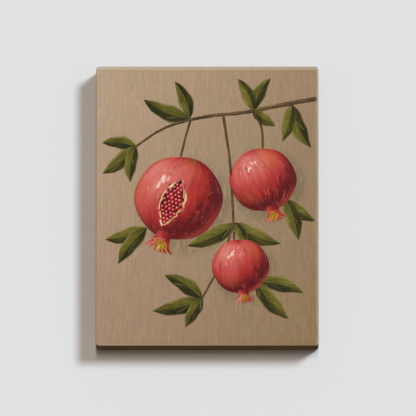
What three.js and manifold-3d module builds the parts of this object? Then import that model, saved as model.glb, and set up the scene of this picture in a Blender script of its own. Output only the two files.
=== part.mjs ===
// A painted stretched canvas that hangs on a wall, in millimetres, +Z up, its picture facing -Y.
// The origin lies on the wall's face, at the middle notch of the sawtooth hanger, where the wall's nail is.
// One cotton sheet is wrapped round four mitred stretcher bars and stapled at the back, and wooden keys stand in
// the corner joints. The picture is thick oil paint, raised from the sheet: a leafy branch with three fruits.
import * as THREE from "three";
import { mergeVertices } from "three/addons/utils/BufferGeometryUtils.js";
import Module from "manifold-3d";

const wasm = await Module();
wasm.setup();

// The stretched sheet, an 11 x 14 inch face on bars 1.5 inches deep.
const WIDTH = 279.4;
const HEIGHT = 355.6;
const DEPTH = 38.1;
const CANVAS = 0.6;
const FACE_EDGE_RADIUS = 3.5;
const CORNER_RADIUS = 4;
const FLAP = 18;
const FOLD = 0.5;
const FOLD_SETBACK = 4.5;

// The clearance between pieces that touch, and the smaller one under steel and between layers of paint.
const GAP = 0.3;
const FINE_GAP = 0.05;

// The stretcher bars and their corner joints.
const BAR_WIDTH = 32;
const BAR_LIP = 5;
const LIP_RISE = 1.2;
const BEVEL_DROP = 5;
const TONGUE = 6;
const BACK_JOINT = 10;
const FRONT_JOINT = 22;
const TONGUE_TIP = 7;
const TONGUE_SIDE = 9;
const TONGUE_ROOT = 4;
const SLOT_END = 46;
const KEY_OUT = 9;
const KEY_IN = 19;
const KEY_TIP_WIDTH = 7;
const KEY_END_WIDTH = 13.2;
const KEY_CORNER = 1;

// The fittings on the back.
const BUMPER_HEIGHT = 3;
const BUMPER_RADIUS = 5;
const STAPLE_CROWN = 10;
const BUMPER_X = 112;
const STAPLE_LEG = 7.5;
const STAPLE_WIRE = 0.6;
const STAPLE_WIRE_WIDTH = 1.2;
const STAPLE_POINT = 0.5;
const STAPLE_INSET = 9;
const STAPLES_ALONG_X = [-96, -48, 0, 48, 96];
const STAPLES_ALONG_Z = [-132, -66, 0, 66, 132];
const STAPLE_TILTS = [4, -7, 2, 9, -5];
const HANGER_LENGTH = 44;
const HANGER_HEIGHT = 10;
const HANGER_SHEET = 0.8;
const HANGER_STAND = 1.7;
const HANGER_TAB = 8;
const HANGER_RISE = 3;
const HANGER_UP = 2.5;
const SIDE_TEETH = 3;
const TOOTH_PITCH = 3;
const TOOTH_DEPTH = 2.2;
const MIDDLE_NOTCH = 3.5;
const NAIL_HEAD_RADIUS = 2;
const NAIL_HEAD = 0.6;
const NAIL_RADIUS = 0.6;
const NAIL_LENGTH = 8;

// How far the layers of paint stand out from the sheet.
const LEAF_PAINT = 0.4;
const BRANCH_PAINT = 0.7;
const FRUIT_PAINT = 1;
const FRUIT_CROWN = 1.6;
const TOUCH_PAINT = 0.35;

// Places that follow from those sizes. The wall is at y = 0, and z is counted from the picture's middle.
const HALF_W = WIDTH / 2;
const HALF_H = HEIGHT / 2;
const BACK_Y = -BUMPER_HEIGHT;
const FACE_Y = BACK_Y - DEPTH;
const WOOD_BACK_Y = BACK_Y - CANVAS - GAP;
const BAR_DEPTH = DEPTH - 2 * (CANVAS + GAP);
const BAR_HALF_W = HALF_W - CANVAS - GAP;
const BAR_HALF_H = HALF_H - CANVAS - GAP;
const HANGER_BOTTOM = BAR_HALF_H - BAR_WIDTH + HANGER_UP;
const HANG_Z = HANGER_BOTTOM + MIDDLE_NOTCH;

const COLOURS = {
  ground: [0xa58b70, 0.75, 0],
  wood: [0xd9bd8f, 0.7, 0],
  key: [0xe3cda3, 0.7, 0],
  steel: [0xb9bbbe, 0.35, 1],
  rubber: [0x4a4744, 0.8, 0],
  leaf: [0x5d5d24, 0.5, 0],
  bark: [0x6b4a2c, 0.55, 0],
  rose: [0xb93a42, 0.45, 0],
  pink: [0xde8279, 0.45, 0],
  crimson: [0x7c1620, 0.45, 0],
  gold: [0xd0a12c, 0.45, 0],
};

const rad = THREE.MathUtils.degToRad;

// A cutting solid runs this far past what it cuts.
const CUT_PAST = 1;
const ROUND_SIDES = 12;

// ---- Solids ----

function solidOf(geometry) {
  const bare = geometry.clone();
  bare.deleteAttribute("normal");
  bare.deleteAttribute("uv");
  const merged = mergeVertices(bare, 1e-4);
  return new wasm.Manifold(
    new wasm.Mesh({
      numProp: 3,
      vertProperties: new Float32Array(merged.attributes.position.array),
      triVerts: new Uint32Array(merged.index.array),
    }),
  );
}

function geometryOf(solid) {
  const mesh = solid.getMesh();
  const stride = mesh.numProp;
  const points = new Float32Array(mesh.numVert * 3);
  for (let i = 0; i < mesh.numVert; i++) {
    points.set(mesh.vertProperties.subarray(i * stride, i * stride + 3), i * 3);
  }
  const geometry = new THREE.BufferGeometry();
  geometry.setAttribute("position", new THREE.BufferAttribute(points, 3));
  geometry.setIndex(new THREE.BufferAttribute(new Uint32Array(mesh.triVerts), 1));
  const faceted = geometry.toNonIndexed();
  faceted.computeVertexNormals();
  return faceted;
}

function block(x0, x1, y0, y1, z0, z1) {
  const box = new THREE.BoxGeometry(x1 - x0, y1 - y0, z1 - z0);
  return solidOf(box.translate((x0 + x1) / 2, (y0 + y1) / 2, (z0 + z1) / 2));
}

function outline(points) {
  return new THREE.Shape(points.map(([x, y]) => new THREE.Vector2(x, y)));
}

// A flat outline drawn in X and Z, given a thickness from backY towards the viewer.
function plate(shape, backY, thickness, options = {}) {
  const made = new THREE.ExtrudeGeometry(shape, {
    depth: thickness,
    bevelEnabled: false,
    curveSegments: 6,
    ...options,
  });
  const turn = new THREE.Matrix4().set(1, 0, 0, 0, 0, 0, -1, backY, 0, 1, 0, 0, 0, 0, 0, 1);
  return solidOf(made.applyMatrix4(turn));
}

function paintPlate(shape, thickness) {
  return plate(shape, FACE_Y, thickness);
}

function union(solids) {
  return solids.reduce((sum, next) => sum.add(next));
}

const picture = new THREE.Group();
picture.position.z = -HANG_Z;

function addNode(name, solid, colour) {
  const [color, roughness, metalness] = COLOURS[colour];
  const material = new THREE.MeshStandardMaterial({ color, roughness, metalness, flatShading: true });
  const mesh = new THREE.Mesh(geometryOf(solid), material);
  mesh.name = name;
  picture.add(mesh);
  return mesh;
}

// ---- Stretcher bars ----

// A bar lies along X with its outer side at z = 0, its inner side at z = -BAR_WIDTH and its back at y = 0.
// Only the lip along its outer side touches the sheet: the front slopes away behind the picture.
function barSection() {
  const slopeTop = BAR_DEPTH - LIP_RISE;
  const section = new THREE.Shape();
  section.moveTo(0, 0);
  section.lineTo(BAR_WIDTH, 0);
  section.lineTo(BAR_WIDTH, slopeTop - BEVEL_DROP);
  section.lineTo(BAR_LIP + 1, slopeTop);
  section.lineTo(BAR_LIP, BAR_DEPTH);
  section.lineTo(0, BAR_DEPTH);
  section.lineTo(0, 0);
  return section;
}

// Corner outlines are drawn in a, the distance from the bar's end, and b, the distance from its outer side.
function cornerPlate(length, side, points, jointDepth, thickness) {
  const drawn = points.map(([a, b]) => [side * (length / 2 - a), -b]);
  return plate(outline(drawn), -jointDepth, thickness);
}

function barSolid(length, tongueDepth, slotDepth) {
  const extruded = new THREE.ExtrudeGeometry(barSection(), { depth: length, bevelEnabled: false });
  // Section x runs inwards (-Z), section y runs to the front (-Y) and the extrusion along -X.
  const turn = new THREE.Matrix4().set(0, 0, -1, length / 2, 0, -1, 0, 0, -1, 0, 0, 0, 0, 0, 0, 1);
  const outer = length / 2 - GAP / 2 + CUT_PAST;
  const inner = outer - BAR_WIDTH - 2 * CUT_PAST;
  const mitre = outline([
    [-outer, CUT_PAST],
    [-inner, -BAR_WIDTH - CUT_PAST],
    [inner, -BAR_WIDTH - CUT_PAST],
    [outer, CUT_PAST],
  ]);
  const between = plate(mitre, CUT_PAST, BAR_DEPTH + 2 * CUT_PAST);
  let bar = solidOf(extruded.applyMatrix4(turn)).intersect(between);
  for (const side of [-1, 1]) {
    const tongue = [
      [TONGUE_TIP, TONGUE_SIDE],
      [TONGUE_TIP, BAR_WIDTH],
      [BAR_WIDTH + TONGUE_ROOT, BAR_WIDTH],
      [TONGUE_SIDE + TONGUE_ROOT, TONGUE_SIDE],
    ];
    const slot = [
      [TONGUE_SIDE - GAP, TONGUE_TIP - GAP],
      [TONGUE_SIDE - GAP, BAR_WIDTH + CUT_PAST],
      [SLOT_END, BAR_WIDTH + CUT_PAST],
      [SLOT_END, TONGUE_TIP - GAP],
    ];
    bar = bar
      .add(cornerPlate(length, side, tongue, tongueDepth + GAP, TONGUE))
      .subtract(cornerPlate(length, side, slot, slotDepth, TONGUE + 2 * GAP));
  }
  return bar;
}

// A key is a thin wedge in the end of a slot, between the other bar's tongue and the slot's end.
function keySolid(length, side, slotDepth) {
  const start = BAR_WIDTH + GAP;
  const wedge = [
    [start, BAR_WIDTH - KEY_IN],
    [start, BAR_WIDTH + KEY_OUT],
    [start + KEY_END_WIDTH - KEY_CORNER, BAR_WIDTH + KEY_OUT],
    [start + KEY_END_WIDTH, BAR_WIDTH + KEY_OUT - KEY_CORNER],
    [start + KEY_TIP_WIDTH, BAR_WIDTH - KEY_IN],
  ];
  return cornerPlate(length, side, wedge, slotDepth + GAP, TONGUE);
}

// ---- Staples ----

// A staple's crown lies on the sheet's back along X, and its legs go forwards into the bar.
function stapleSolid() {
  const half = STAPLE_CROWN / 2;
  const leg = half - STAPLE_WIRE;
  const bent = outline([
    [-half, STAPLE_WIRE],
    [-half, STAPLE_POINT - STAPLE_LEG],
    [-leg, -STAPLE_LEG],
    [-leg, 0],
    [leg, 0],
    [leg, -STAPLE_LEG],
    [half, STAPLE_POINT - STAPLE_LEG],
    [half, STAPLE_WIRE],
  ]);
  const made = new THREE.ExtrudeGeometry(bent, { depth: STAPLE_WIRE_WIDTH, bevelEnabled: false });
  return solidOf(made.translate(0, FINE_GAP, -STAPLE_WIRE_WIDTH / 2));
}

function stapleHoles() {
  const reach = STAPLE_CROWN / 2 + GAP;
  const wide = STAPLE_WIRE + 2 * GAP;
  const side = STAPLE_WIRE_WIDTH / 2 + GAP;
  return [-reach, reach - wide].map((x) => block(x, x + wide, -STAPLE_LEG - GAP, CUT_PAST, -side, side));
}

function staplePlaces() {
  const rows = [];
  STAPLES_ALONG_X.forEach((x, i) => {
    rows.push([`staple_top_${i + 1}`, x, HALF_H - STAPLE_INSET, 0]);
    rows.push([`staple_bottom_${i + 1}`, x, -HALF_H + STAPLE_INSET, 0]);
  });
  STAPLES_ALONG_Z.forEach((z, i) => {
    rows.push([`staple_left_${i + 1}`, -HALF_W + STAPLE_INSET, z, 90]);
    rows.push([`staple_right_${i + 1}`, HALF_W - STAPLE_INSET, z, 90]);
  });
  return rows.map(([name, x, z, turn], i) => {
    const tilt = turn + STAPLE_TILTS[i % STAPLE_TILTS.length];
    const matrix = new THREE.Matrix4().makeRotationY(rad(tilt)).setPosition(x, BACK_Y, z);
    return { name, x, z, tilt, matrix };
  });
}

const staples = staplePlaces();
const holes = staples.flatMap(({ matrix }) => stapleHoles().map((hole) => hole.transform(matrix.elements)));

// ---- Sawtooth hanger and its nails ----

const NAIL_X = HANGER_LENGTH / 2 - HANGER_TAB / 2;
const HANGER_MIDDLE_Z = HANGER_BOTTOM + HANGER_HEIGHT / 2;

function hangerSolid() {
  const end = HANGER_LENGTH / 2;
  const tab = end - HANGER_TAB;
  const flat = WOOD_BACK_Y + FINE_GAP;
  const stand = WOOD_BACK_Y + HANGER_STAND;
  const foot = tab - HANGER_RISE;
  const front = [
    [-end, flat],
    [-tab, flat],
    [-foot, stand],
    [foot, stand],
    [tab, flat],
    [end, flat],
  ];
  const back = front.map(([x, y]) => [x, y + HANGER_SHEET]).reverse();
  const strip = new THREE.ExtrudeGeometry(outline([...front, ...back]), {
    depth: HANGER_HEIGHT,
    bevelEnabled: false,
  });
  const notches = [];
  for (let i = -SIDE_TEETH; i <= SIDE_TEETH; i++) {
    const deep = i === 0 ? MIDDLE_NOTCH : TOOTH_DEPTH;
    const half = TOOTH_PITCH * (i === 0 ? 0.6 : 0.45);
    const notch = outline([
      [i * TOOTH_PITCH - half, HANGER_BOTTOM - FINE_GAP],
      [i * TOOTH_PITCH + half, HANGER_BOTTOM - FINE_GAP],
      [i * TOOTH_PITCH, HANGER_BOTTOM + deep],
    ]);
    notches.push(plate(notch, 0, -WOOD_BACK_Y));
  }
  return solidOf(strip.translate(0, 0, HANGER_BOTTOM)).subtract(union([...notches, ...nailBores()]));
}

function nailBores() {
  const r = NAIL_RADIUS + GAP;
  const length = NAIL_LENGTH + 2 * CUT_PAST;
  const middle = WOOD_BACK_Y + HANGER_SHEET + CUT_PAST - length / 2;
  return [-NAIL_X, NAIL_X].map((x) => {
    const bore = new THREE.CylinderGeometry(r, r, length, ROUND_SIDES);
    return solidOf(bore.translate(x, middle, HANGER_MIDDLE_Z));
  });
}

// A nail's head lies on the hanger's tab, and its shank goes forwards into the bar.
function nailSolid() {
  const profile = [
    [0, -NAIL_LENGTH],
    [NAIL_RADIUS, -NAIL_LENGTH + 1],
    [NAIL_RADIUS, 0],
    [NAIL_HEAD_RADIUS, 0],
    [NAIL_HEAD_RADIUS, NAIL_HEAD / 2],
    [NAIL_HEAD_RADIUS - NAIL_HEAD, NAIL_HEAD],
    [0, NAIL_HEAD],
  ].map(([x, y]) => new THREE.Vector2(x, y));
  return solidOf(new THREE.LatheGeometry(profile, ROUND_SIDES));
}

// ---- The sheet ----

function roundedRectangle(halfW, halfH, radius) {
  const shape = new THREE.Shape();
  shape.moveTo(halfW, halfH - radius);
  shape.absarc(halfW - radius, halfH - radius, radius, 0, Math.PI / 2, false);
  shape.absarc(-halfW + radius, halfH - radius, radius, Math.PI / 2, Math.PI, false);
  shape.absarc(-halfW + radius, -halfH + radius, radius, Math.PI, 1.5 * Math.PI, false);
  shape.absarc(halfW - radius, -halfH + radius, radius, 1.5 * Math.PI, 2 * Math.PI, false);
  return shape;
}

// The picture's block, set in by a distance on its front and sides. Its front edges and its corners are rounded,
// and its back is cut off flat.
function pillow(inset, backY) {
  const edge = FACE_EDGE_RADIUS - inset;
  const frontY = FACE_Y + inset;
  const over = 2 * edge;
  const reach = inset + edge;
  const core = roundedRectangle(HALF_W - reach, HALF_H - reach, CORNER_RADIUS - FACE_EDGE_RADIUS);
  const made = plate(core, backY + over, backY + over - frontY - edge, {
    bevelEnabled: true,
    bevelSize: edge,
    bevelThickness: edge,
    bevelSegments: 4,
    curveSegments: 3,
  });
  return made.intersect(block(-WIDTH, WIDTH, frontY - edge, backY, -HEIGHT, HEIGHT));
}

// At each corner the spare cloth is folded under, which leaves a thin wedge on the top and bottom sides and a
// triangle at the back.
function cornerFolds() {
  const x = HALF_W - CORNER_RADIUS;
  const z = HALF_H - CORNER_RADIUS / 2;
  const front = FACE_Y + FOLD_SETBACK;
  const run = BACK_Y - front;
  const folds = [];
  for (const sx of [-1, 1]) {
    for (const sz of [-1, 1]) {
      const side = outline([
        [sx * x, front],
        [sx * x, BACK_Y],
        [sx * (x - run), BACK_Y],
      ]);
      const wedge = new THREE.ExtrudeGeometry(side, { depth: 2 * FOLD, bevelEnabled: false });
      folds.push(solidOf(wedge.translate(0, 0, sz * HALF_H - FOLD)));
      const back = outline([
        [sx * (HALF_W - CORNER_RADIUS / 2), sz * z],
        [sx * (HALF_W - FLAP), sz * z],
        [sx * (HALF_W - FLAP), sz * (HALF_H - FLAP)],
      ]);
      folds.push(plate(back, BACK_Y + FOLD, FOLD + CANVAS / 2));
    }
  }
  return folds;
}

function canvasSolid() {
  const outside = pillow(0, BACK_Y);
  const inside = pillow(CANVAS, BACK_Y - CANVAS);
  const mouthX = HALF_W - FLAP;
  const mouthZ = HALF_H - FLAP;
  const mouth = block(-mouthX, mouthX, WOOD_BACK_Y - CUT_PAST, 0, -mouthZ, mouthZ);
  return union([outside.subtract(inside).subtract(mouth), ...cornerFolds()]).subtract(union(holes));
}

// ---- The picture ----

// A leaf springs from [x, z], points along its angle and bends by its curl, in degrees, over its length.
const LEAF_GROUPS = [
  { at: [-90, 76], leaves: [[174, 42, 15, 14], [220, 54, 18, -12], [262, 46, 15, 16]] },
  { at: [-22, 112], leaves: [[112, 50, 16, 16], [158, 62, 19, -16]] },
  { at: [58, 122], leaves: [[62, 46, 15, -18], [116, 44, 15, 14], [-36, 34, 13, 10]] },
  { at: [106, 129], leaves: [[-66, 60, 19, 16], [-104, 48, 15, -12]] },
  { at: [34, -22], leaves: [[-24, 64, 19, 16], [206, 66, 19, -14], [-58, 30, 12, -8]] },
  { at: [-6, -118], leaves: [[148, 56, 18, 14], [194, 64, 19, -12], [240, 42, 15, 8]] },
  { at: [-76, -28], leaves: [[196, 54, 18, -14], [232, 58, 18, 12]] },
  { at: [98, 8], leaves: [[-36, 46, 16, 14], [-72, 54, 17, -12]] },
  { at: [62, -96], leaves: [[-14, 60, 18, -14], [-50, 62, 19, 12]] },
];

// The branch and the twigs that hang from it, each as its points and its half widths at both ends.
const TWIGS = [
  { points: [[134, 136], [96, 129], [46, 119], [-6, 113], [-54, 99], [-92, 74]], from: 3.2, to: 1.4 },
  { points: [[-20, 112], [-26, 92], [-34, 60]], from: 1.6, to: 1.5 },
  { points: [[58, 120], [68, 100], [70, 70]], from: 1.6, to: 1.5 },
  { points: [[20, 116], [28, 60], [32, 0], [34, -44]], from: 1.8, to: 1.5 },
  { points: [[33, -22], [18, -70], [-7, -119]], from: 1.6, to: 1.3 },
];

// Each fruit has its middle, its radius and the direction that its crown points in.
const FRUITS = [
  { name: "large", at: [-36, 8], radius: 54, crown: -112 },
  { name: "middle", at: [70, 32], radius: 41, crown: -72 },
  { name: "small", at: [42, -78], radius: 35, crown: -84 },
];

const LIGHT = { arc: [70, 190], reach: [0.3, 0.88] };
const SHADE = { arc: [-95, 40], reach: [0.52, 0.93] };
const LEAF_HUB = 3;

// Half a leaf's width at t along it, with a slightly waved edge.
function leafHalfWidth(t, width, angle) {
  const blade = Math.sin(Math.PI * t ** 0.85) ** 0.9;
  const wave = 1 + 0.09 * Math.sin(14 * t + angle);
  const rib = 0.8 * (1 - t) + 0.25;
  return (width / 2) * wave * blade + rib;
}

function leafOutline([x, z], [angle, length, width, curl], grow = 0) {
  const steps = 12;
  const left = [];
  const right = [];
  for (let i = 0; i <= steps; i++) {
    const t = i / steps;
    const heading = rad(angle + curl * (t - 0.5) * 2);
    const along = rad(angle + curl * (t - 1));
    const px = x + t * length * Math.cos(along);
    const pz = z + t * length * Math.sin(along);
    const half = leafHalfWidth(t, width, angle) + grow;
    left.push([px - half * Math.sin(heading), pz + half * Math.cos(heading)]);
    right.push([px + half * Math.sin(heading), pz - half * Math.cos(heading)]);
  }
  return outline([...right, ...left.reverse()]);
}

function leafGroup({ at, leaves }, grow = 0) {
  const hub = new THREE.Shape().absarc(at[0], at[1], LEAF_HUB + grow, 0, 2 * Math.PI, false);
  const shapes = [hub, ...leaves.map((leaf) => leafOutline(at, leaf, grow))];
  return union(shapes.map((shape) => paintPlate(shape, LEAF_PAINT + grow)));
}

function twigSolid({ points, from, to }, grow = 0) {
  const line = new THREE.SplineCurve(points.map(([x, z]) => new THREE.Vector2(x, z)));
  const steps = 6 * (points.length - 1);
  const left = [];
  const right = [];
  for (let i = 0; i <= steps; i++) {
    const t = i / steps;
    const p = line.getPoint(t);
    const d = line.getTangent(t);
    const half = from + (to - from) * t + grow;
    left.push([p.x - half * d.y, p.y + half * d.x]);
    right.push([p.x + half * d.y, p.y - half * d.x]);
  }
  return paintPlate(outline([...right, ...left.reverse()]), BRANCH_PAINT + grow);
}

function fruitOutline({ at, radius }) {
  const steps = 48;
  const points = [];
  for (let i = 0; i < steps; i++) {
    const a = (i / steps) * 2 * Math.PI;
    const r = radius * (1 + 0.012 * Math.cos(6 * a) + 0.02 * Math.cos(2 * a));
    points.push([at[0] + r * Math.cos(a), at[1] + r * Math.sin(a)]);
  }
  return outline(points);
}

// The crown: a short neck that opens into pointed sepals.
function crownOutline({ at, radius, crown }) {
  const d = rad(crown);
  const place = ([along, across]) => [
    at[0] + radius * (along * Math.cos(d) - across * Math.sin(d)),
    at[1] + radius * (along * Math.sin(d) + across * Math.cos(d)),
  ];
  return outline(
    [
      [0.8, -0.26],
      [1.04, -0.17],
      [1.3, -0.34],
      [1.2, -0.16],
      [1.4, -0.1],
      [1.24, 0],
      [1.41, 0.12],
      [1.2, 0.17],
      [1.28, 0.36],
      [1.04, 0.17],
      [0.8, 0.26],
    ].map(place),
  );
}

// A fruit's paint: a plate with a low dome on it. Its lift raises both, for the touches that lie on it.
function fruitBody(fruit, lift = 0) {
  const dome = new THREE.SphereGeometry(fruit.radius, 36, 18);
  const height = FRUIT_CROWN + lift;
  dome.scale(1, height / fruit.radius, 1).translate(fruit.at[0], FACE_Y, fruit.at[1]);
  const front = block(-HALF_W, HALF_W, FACE_Y - 2 * height, FACE_Y, -HALF_H, HALF_H);
  return paintPlate(fruitOutline(fruit), FRUIT_PAINT + lift).add(solidOf(dome).intersect(front));
}

// A crescent of brush marks that follows the fruit's edge. Its arc is in degrees and its reach in radii.
function crescentOutline({ at, radius }, { arc: [from, to], reach: [inner, outer] }) {
  const steps = 14;
  const edge = [];
  const back = [];
  for (let i = 0; i <= steps; i++) {
    const t = i / steps;
    const a = rad(from + (to - from) * t);
    const swell = Math.sin(Math.PI * t);
    const nick = i % 2 ? 0.035 : 0;
    const out = radius * (inner + (outer - inner) * (0.35 + 0.65 * swell ** 0.5) - nick);
    const low = radius * (inner + (outer - inner) * 0.33 * (1 - swell) - nick);
    edge.push([at[0] + out * Math.cos(a), at[1] + out * Math.sin(a)]);
    back.push([at[0] + low * Math.cos(a), at[1] + low * Math.sin(a)]);
  }
  return outline([...edge, ...back.reverse()]);
}

function touch(fruit, shape) {
  const over = fruitBody(fruit, TOUCH_PAINT + FINE_GAP);
  return paintPlate(shape, 2 * FRUIT_CROWN).intersect(over).subtract(fruitBody(fruit, FINE_GAP));
}

function stamenOutline({ at, radius, crown }) {
  const d = rad(crown);
  const middle = [at[0] + 1.2 * radius * Math.cos(d), at[1] + 1.2 * radius * Math.sin(d)];
  const tips = 11;
  const points = [];
  for (let i = 0; i < 2 * tips; i++) {
    const a = (i / tips) * Math.PI;
    const r = radius * (i % 2 ? 0.09 : 0.2) * (1 + 0.2 * Math.cos(a - d));
    points.push([middle[0] + r * Math.cos(a), middle[1] + r * Math.sin(a)]);
  }
  return outline(points);
}

// ---- The object ----

const BARS = [
  { name: "bar_top", length: 2 * BAR_HALF_W, turn: 0, x: 0, z: BAR_HALF_H, level: true },
  { name: "bar_bottom", length: 2 * BAR_HALF_W, turn: 180, x: 0, z: -BAR_HALF_H, level: true },
  { name: "bar_left", length: 2 * BAR_HALF_H, turn: -90, x: -BAR_HALF_W, z: 0, level: false },
  { name: "bar_right", length: 2 * BAR_HALF_H, turn: 90, x: BAR_HALF_W, z: 0, level: false },
];

const woodBlock = pillow(CANVAS + GAP, WOOD_BACK_Y);
for (const bar of BARS) {
  const place = new THREE.Matrix4().makeRotationY(rad(bar.turn)).setPosition(bar.x, WOOD_BACK_Y, bar.z);
  const slotDepth = bar.level ? FRONT_JOINT : BACK_JOINT;
  const tongueDepth = bar.level ? BACK_JOINT : FRONT_JOINT;
  let solid = barSolid(bar.length, tongueDepth, slotDepth).transform(place.elements);
  solid = solid.intersect(woodBlock).subtract(union([...holes, ...nailBores()]));
  addNode(bar.name, solid, "wood");
  for (const side of [-1, 1]) {
    const key = keySolid(bar.length, side, slotDepth).transform(place.elements);
    addNode(`${bar.name.replace("bar", "key")}_${side < 0 ? "a" : "b"}`, key, "key");
  }
}

addNode("canvas", canvasSolid(), "ground");

for (const { name, x, z, tilt } of staples) {
  const staple = addNode(name, stapleSolid(), "steel");
  staple.position.set(x, BACK_Y, z);
  staple.rotation.y = rad(tilt);
}

addNode("hanger", hangerSolid(), "steel");
for (const [name, x] of [["nail_left", -NAIL_X], ["nail_right", NAIL_X]]) {
  const nail = addNode(name, nailSolid(), "steel");
  nail.position.set(x, WOOD_BACK_Y + HANGER_SHEET + 2 * FINE_GAP, HANGER_MIDDLE_Z);
}

const bumperProfile = [
  [0, 0],
  [BUMPER_RADIUS, 0],
  [BUMPER_RADIUS - 0.2, BUMPER_HEIGHT - 0.6],
  [BUMPER_RADIUS - 0.8, BUMPER_HEIGHT],
  [0, BUMPER_HEIGHT],
].map(([x, y]) => new THREE.Vector2(x, y));
for (const [name, x] of [["bumper_left", -BUMPER_X], ["bumper_right", BUMPER_X]]) {
  const bumper = addNode(name, solidOf(new THREE.LatheGeometry(bumperProfile, 2 * ROUND_SIDES)), "rubber");
  bumper.position.set(x, BACK_Y, -HALF_H + STAPLE_INSET);
}

// Leaves were painted first, then the branch over them, then the fruits over both.
const leafCutters = union(LEAF_GROUPS.map((group) => leafGroup(group, FINE_GAP)));
const twigCutters = union(TWIGS.map((twig) => twigSolid(twig, FINE_GAP)));
LEAF_GROUPS.forEach((group, i) => addNode(`paint_leaves_${i + 1}`, leafGroup(group), "leaf"));
addNode("paint_branch", union(TWIGS.map((twig) => twigSolid(twig))).subtract(leafCutters), "bark");
for (const fruit of FRUITS) {
  const crown = paintPlate(crownOutline(fruit), FRUIT_PAINT);
  const body = fruitBody(fruit).add(crown).subtract(leafCutters).subtract(twigCutters);
  addNode(`paint_fruit_${fruit.name}`, body, "rose");
  addNode(`paint_light_${fruit.name}`, touch(fruit, crescentOutline(fruit, LIGHT)), "pink");
  addNode(`paint_shade_${fruit.name}`, touch(fruit, crescentOutline(fruit, SHADE)), "crimson");
  const stamens = plate(stamenOutline(fruit), FACE_Y - FRUIT_PAINT - FINE_GAP, TOUCH_PAINT);
  addNode(`paint_stamens_${fruit.name}`, stamens, "gold");
}

export default picture;
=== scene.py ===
"""A painted stretched canvas that hangs on a wall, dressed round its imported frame.

Everything is in metres. The wall is the plane y = 0, the picture faces -Y, and the origin is the middle
notch of the sawtooth hanger. The picture is built up from brush marks: one mark is modelled, and every mark
of paint is a copy of it, laid along its own path.
"""

import itertools
import math

import bmesh
import bpy
import numpy as np
from bpy.props import FloatProperty, FloatVectorProperty, IntProperty, PointerProperty
from mathutils import Matrix, Vector


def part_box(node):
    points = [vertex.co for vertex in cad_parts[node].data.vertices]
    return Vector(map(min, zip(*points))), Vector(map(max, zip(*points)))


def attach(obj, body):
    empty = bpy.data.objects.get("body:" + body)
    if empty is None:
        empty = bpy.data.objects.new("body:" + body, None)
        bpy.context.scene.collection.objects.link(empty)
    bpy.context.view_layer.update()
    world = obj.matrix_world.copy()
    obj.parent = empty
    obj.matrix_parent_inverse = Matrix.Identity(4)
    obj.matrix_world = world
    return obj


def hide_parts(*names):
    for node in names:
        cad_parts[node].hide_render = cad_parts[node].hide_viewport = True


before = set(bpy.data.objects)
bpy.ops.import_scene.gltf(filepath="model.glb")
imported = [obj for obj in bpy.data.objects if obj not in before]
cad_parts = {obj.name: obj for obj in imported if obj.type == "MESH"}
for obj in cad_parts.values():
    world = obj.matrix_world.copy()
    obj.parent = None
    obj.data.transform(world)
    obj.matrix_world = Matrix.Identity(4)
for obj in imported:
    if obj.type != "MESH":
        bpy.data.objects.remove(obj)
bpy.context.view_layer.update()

bl_info = {
    "name": "Stretched Canvas Picture",
    "version": (1, 0, 0),
    "blender": (4, 5, 0),
    "location": "View3D > Sidebar > Picture",
    "description": "Builds a painted, gallery-wrapped canvas on its stretcher bars",
    "category": "Object",
}

MM = 0.001
BODY = "root"

# ---- Places that come from the frame ----

CANVAS_LOW, CANVAS_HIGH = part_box("canvas")
FOLD = 0.5 * MM
HALF_W = CANVAS_HIGH.x
HALF_H = (CANVAS_HIGH.z - CANVAS_LOW.z) / 2 - FOLD
MIDDLE_Z = (CANVAS_HIGH.z + CANVAS_LOW.z) / 2
FACE_Y = CANVAS_LOW.y
BACK_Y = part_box("bumper_left")[0].y
BARS = ["bar_top", "bar_bottom", "bar_left", "bar_right"]
FRUITS = ["large", "middle", "small"]


def nodes_named(start):
    """The names of the frame's nodes that begin with a word, in order."""
    return sorted(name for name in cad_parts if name.startswith(start))


def centre(node):
    return sum(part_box(node), Vector()) / 2


# ---- Settings that a user would change ----


def setting(kind, **options):
    """A function that makes settings of one kind, from their name, description and default."""

    def made(name, description, default):
        return kind(name=name, description=description, default=default, **options)

    return made


number_setting = setting(IntProperty, min=0)
strength_setting = setting(FloatProperty, min=0)
factor_setting = setting(FloatProperty, min=0, max=1, subtype="FACTOR")
length_setting = setting(FloatProperty, unit="LENGTH", subtype="DISTANCE")
angle_setting = setting(FloatProperty, unit="ROTATION", subtype="ANGLE")
colour_setting = setting(FloatVectorProperty, subtype="COLOR_GAMMA", size=3, min=0, max=1)


class SheetSettings(bpy.types.PropertyGroup):
    thickness: length_setting("Thickness", "Thickness of the primed cotton", 0.5 * MM)
    edge_radius: length_setting("Edge radius", "Radius of the fold round the front edge", 1.5 * MM)
    corner_radius: length_setting("Corner radius", "Radius of the picture's four corners", 4 * MM)
    flap: length_setting("Flap", "Width of the flap that is stapled to the back", 18 * MM)
    threads: number_setting("Loose threads", "Threads that hang from the cut edge", 110)
    hem_radius: length_setting("Hem radius", "Radius of the fold onto the back", 1.2 * MM)
    grid: length_setting("Grid", "Distance between the cuts that let the sheet bend", 5 * MM)
    raw: colour_setting("Raw cotton", "Colour of the unpainted cloth", (0.83, 0.78, 0.68))
    primer: colour_setting("Primer", "Colour of the primed cloth on the flap", (0.9, 0.89, 0.85))


class PaintSettings(bpy.types.PropertyGroup):
    seed: number_setting("Seed", "Start of the paint's random draws", 11)
    ground_marks: number_setting("Ground marks", "Upright marks in each layer of ground", 1450)
    fruit_marks: number_setting("Fruit marks", "Marks on the largest fruit", 230)
    leaf_marks: number_setting("Leaf marks", "Marks on each leaf", 16)
    roughness: factor_setting("Roughness", "Roughness of the dry oil paint", 0.52)


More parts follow.
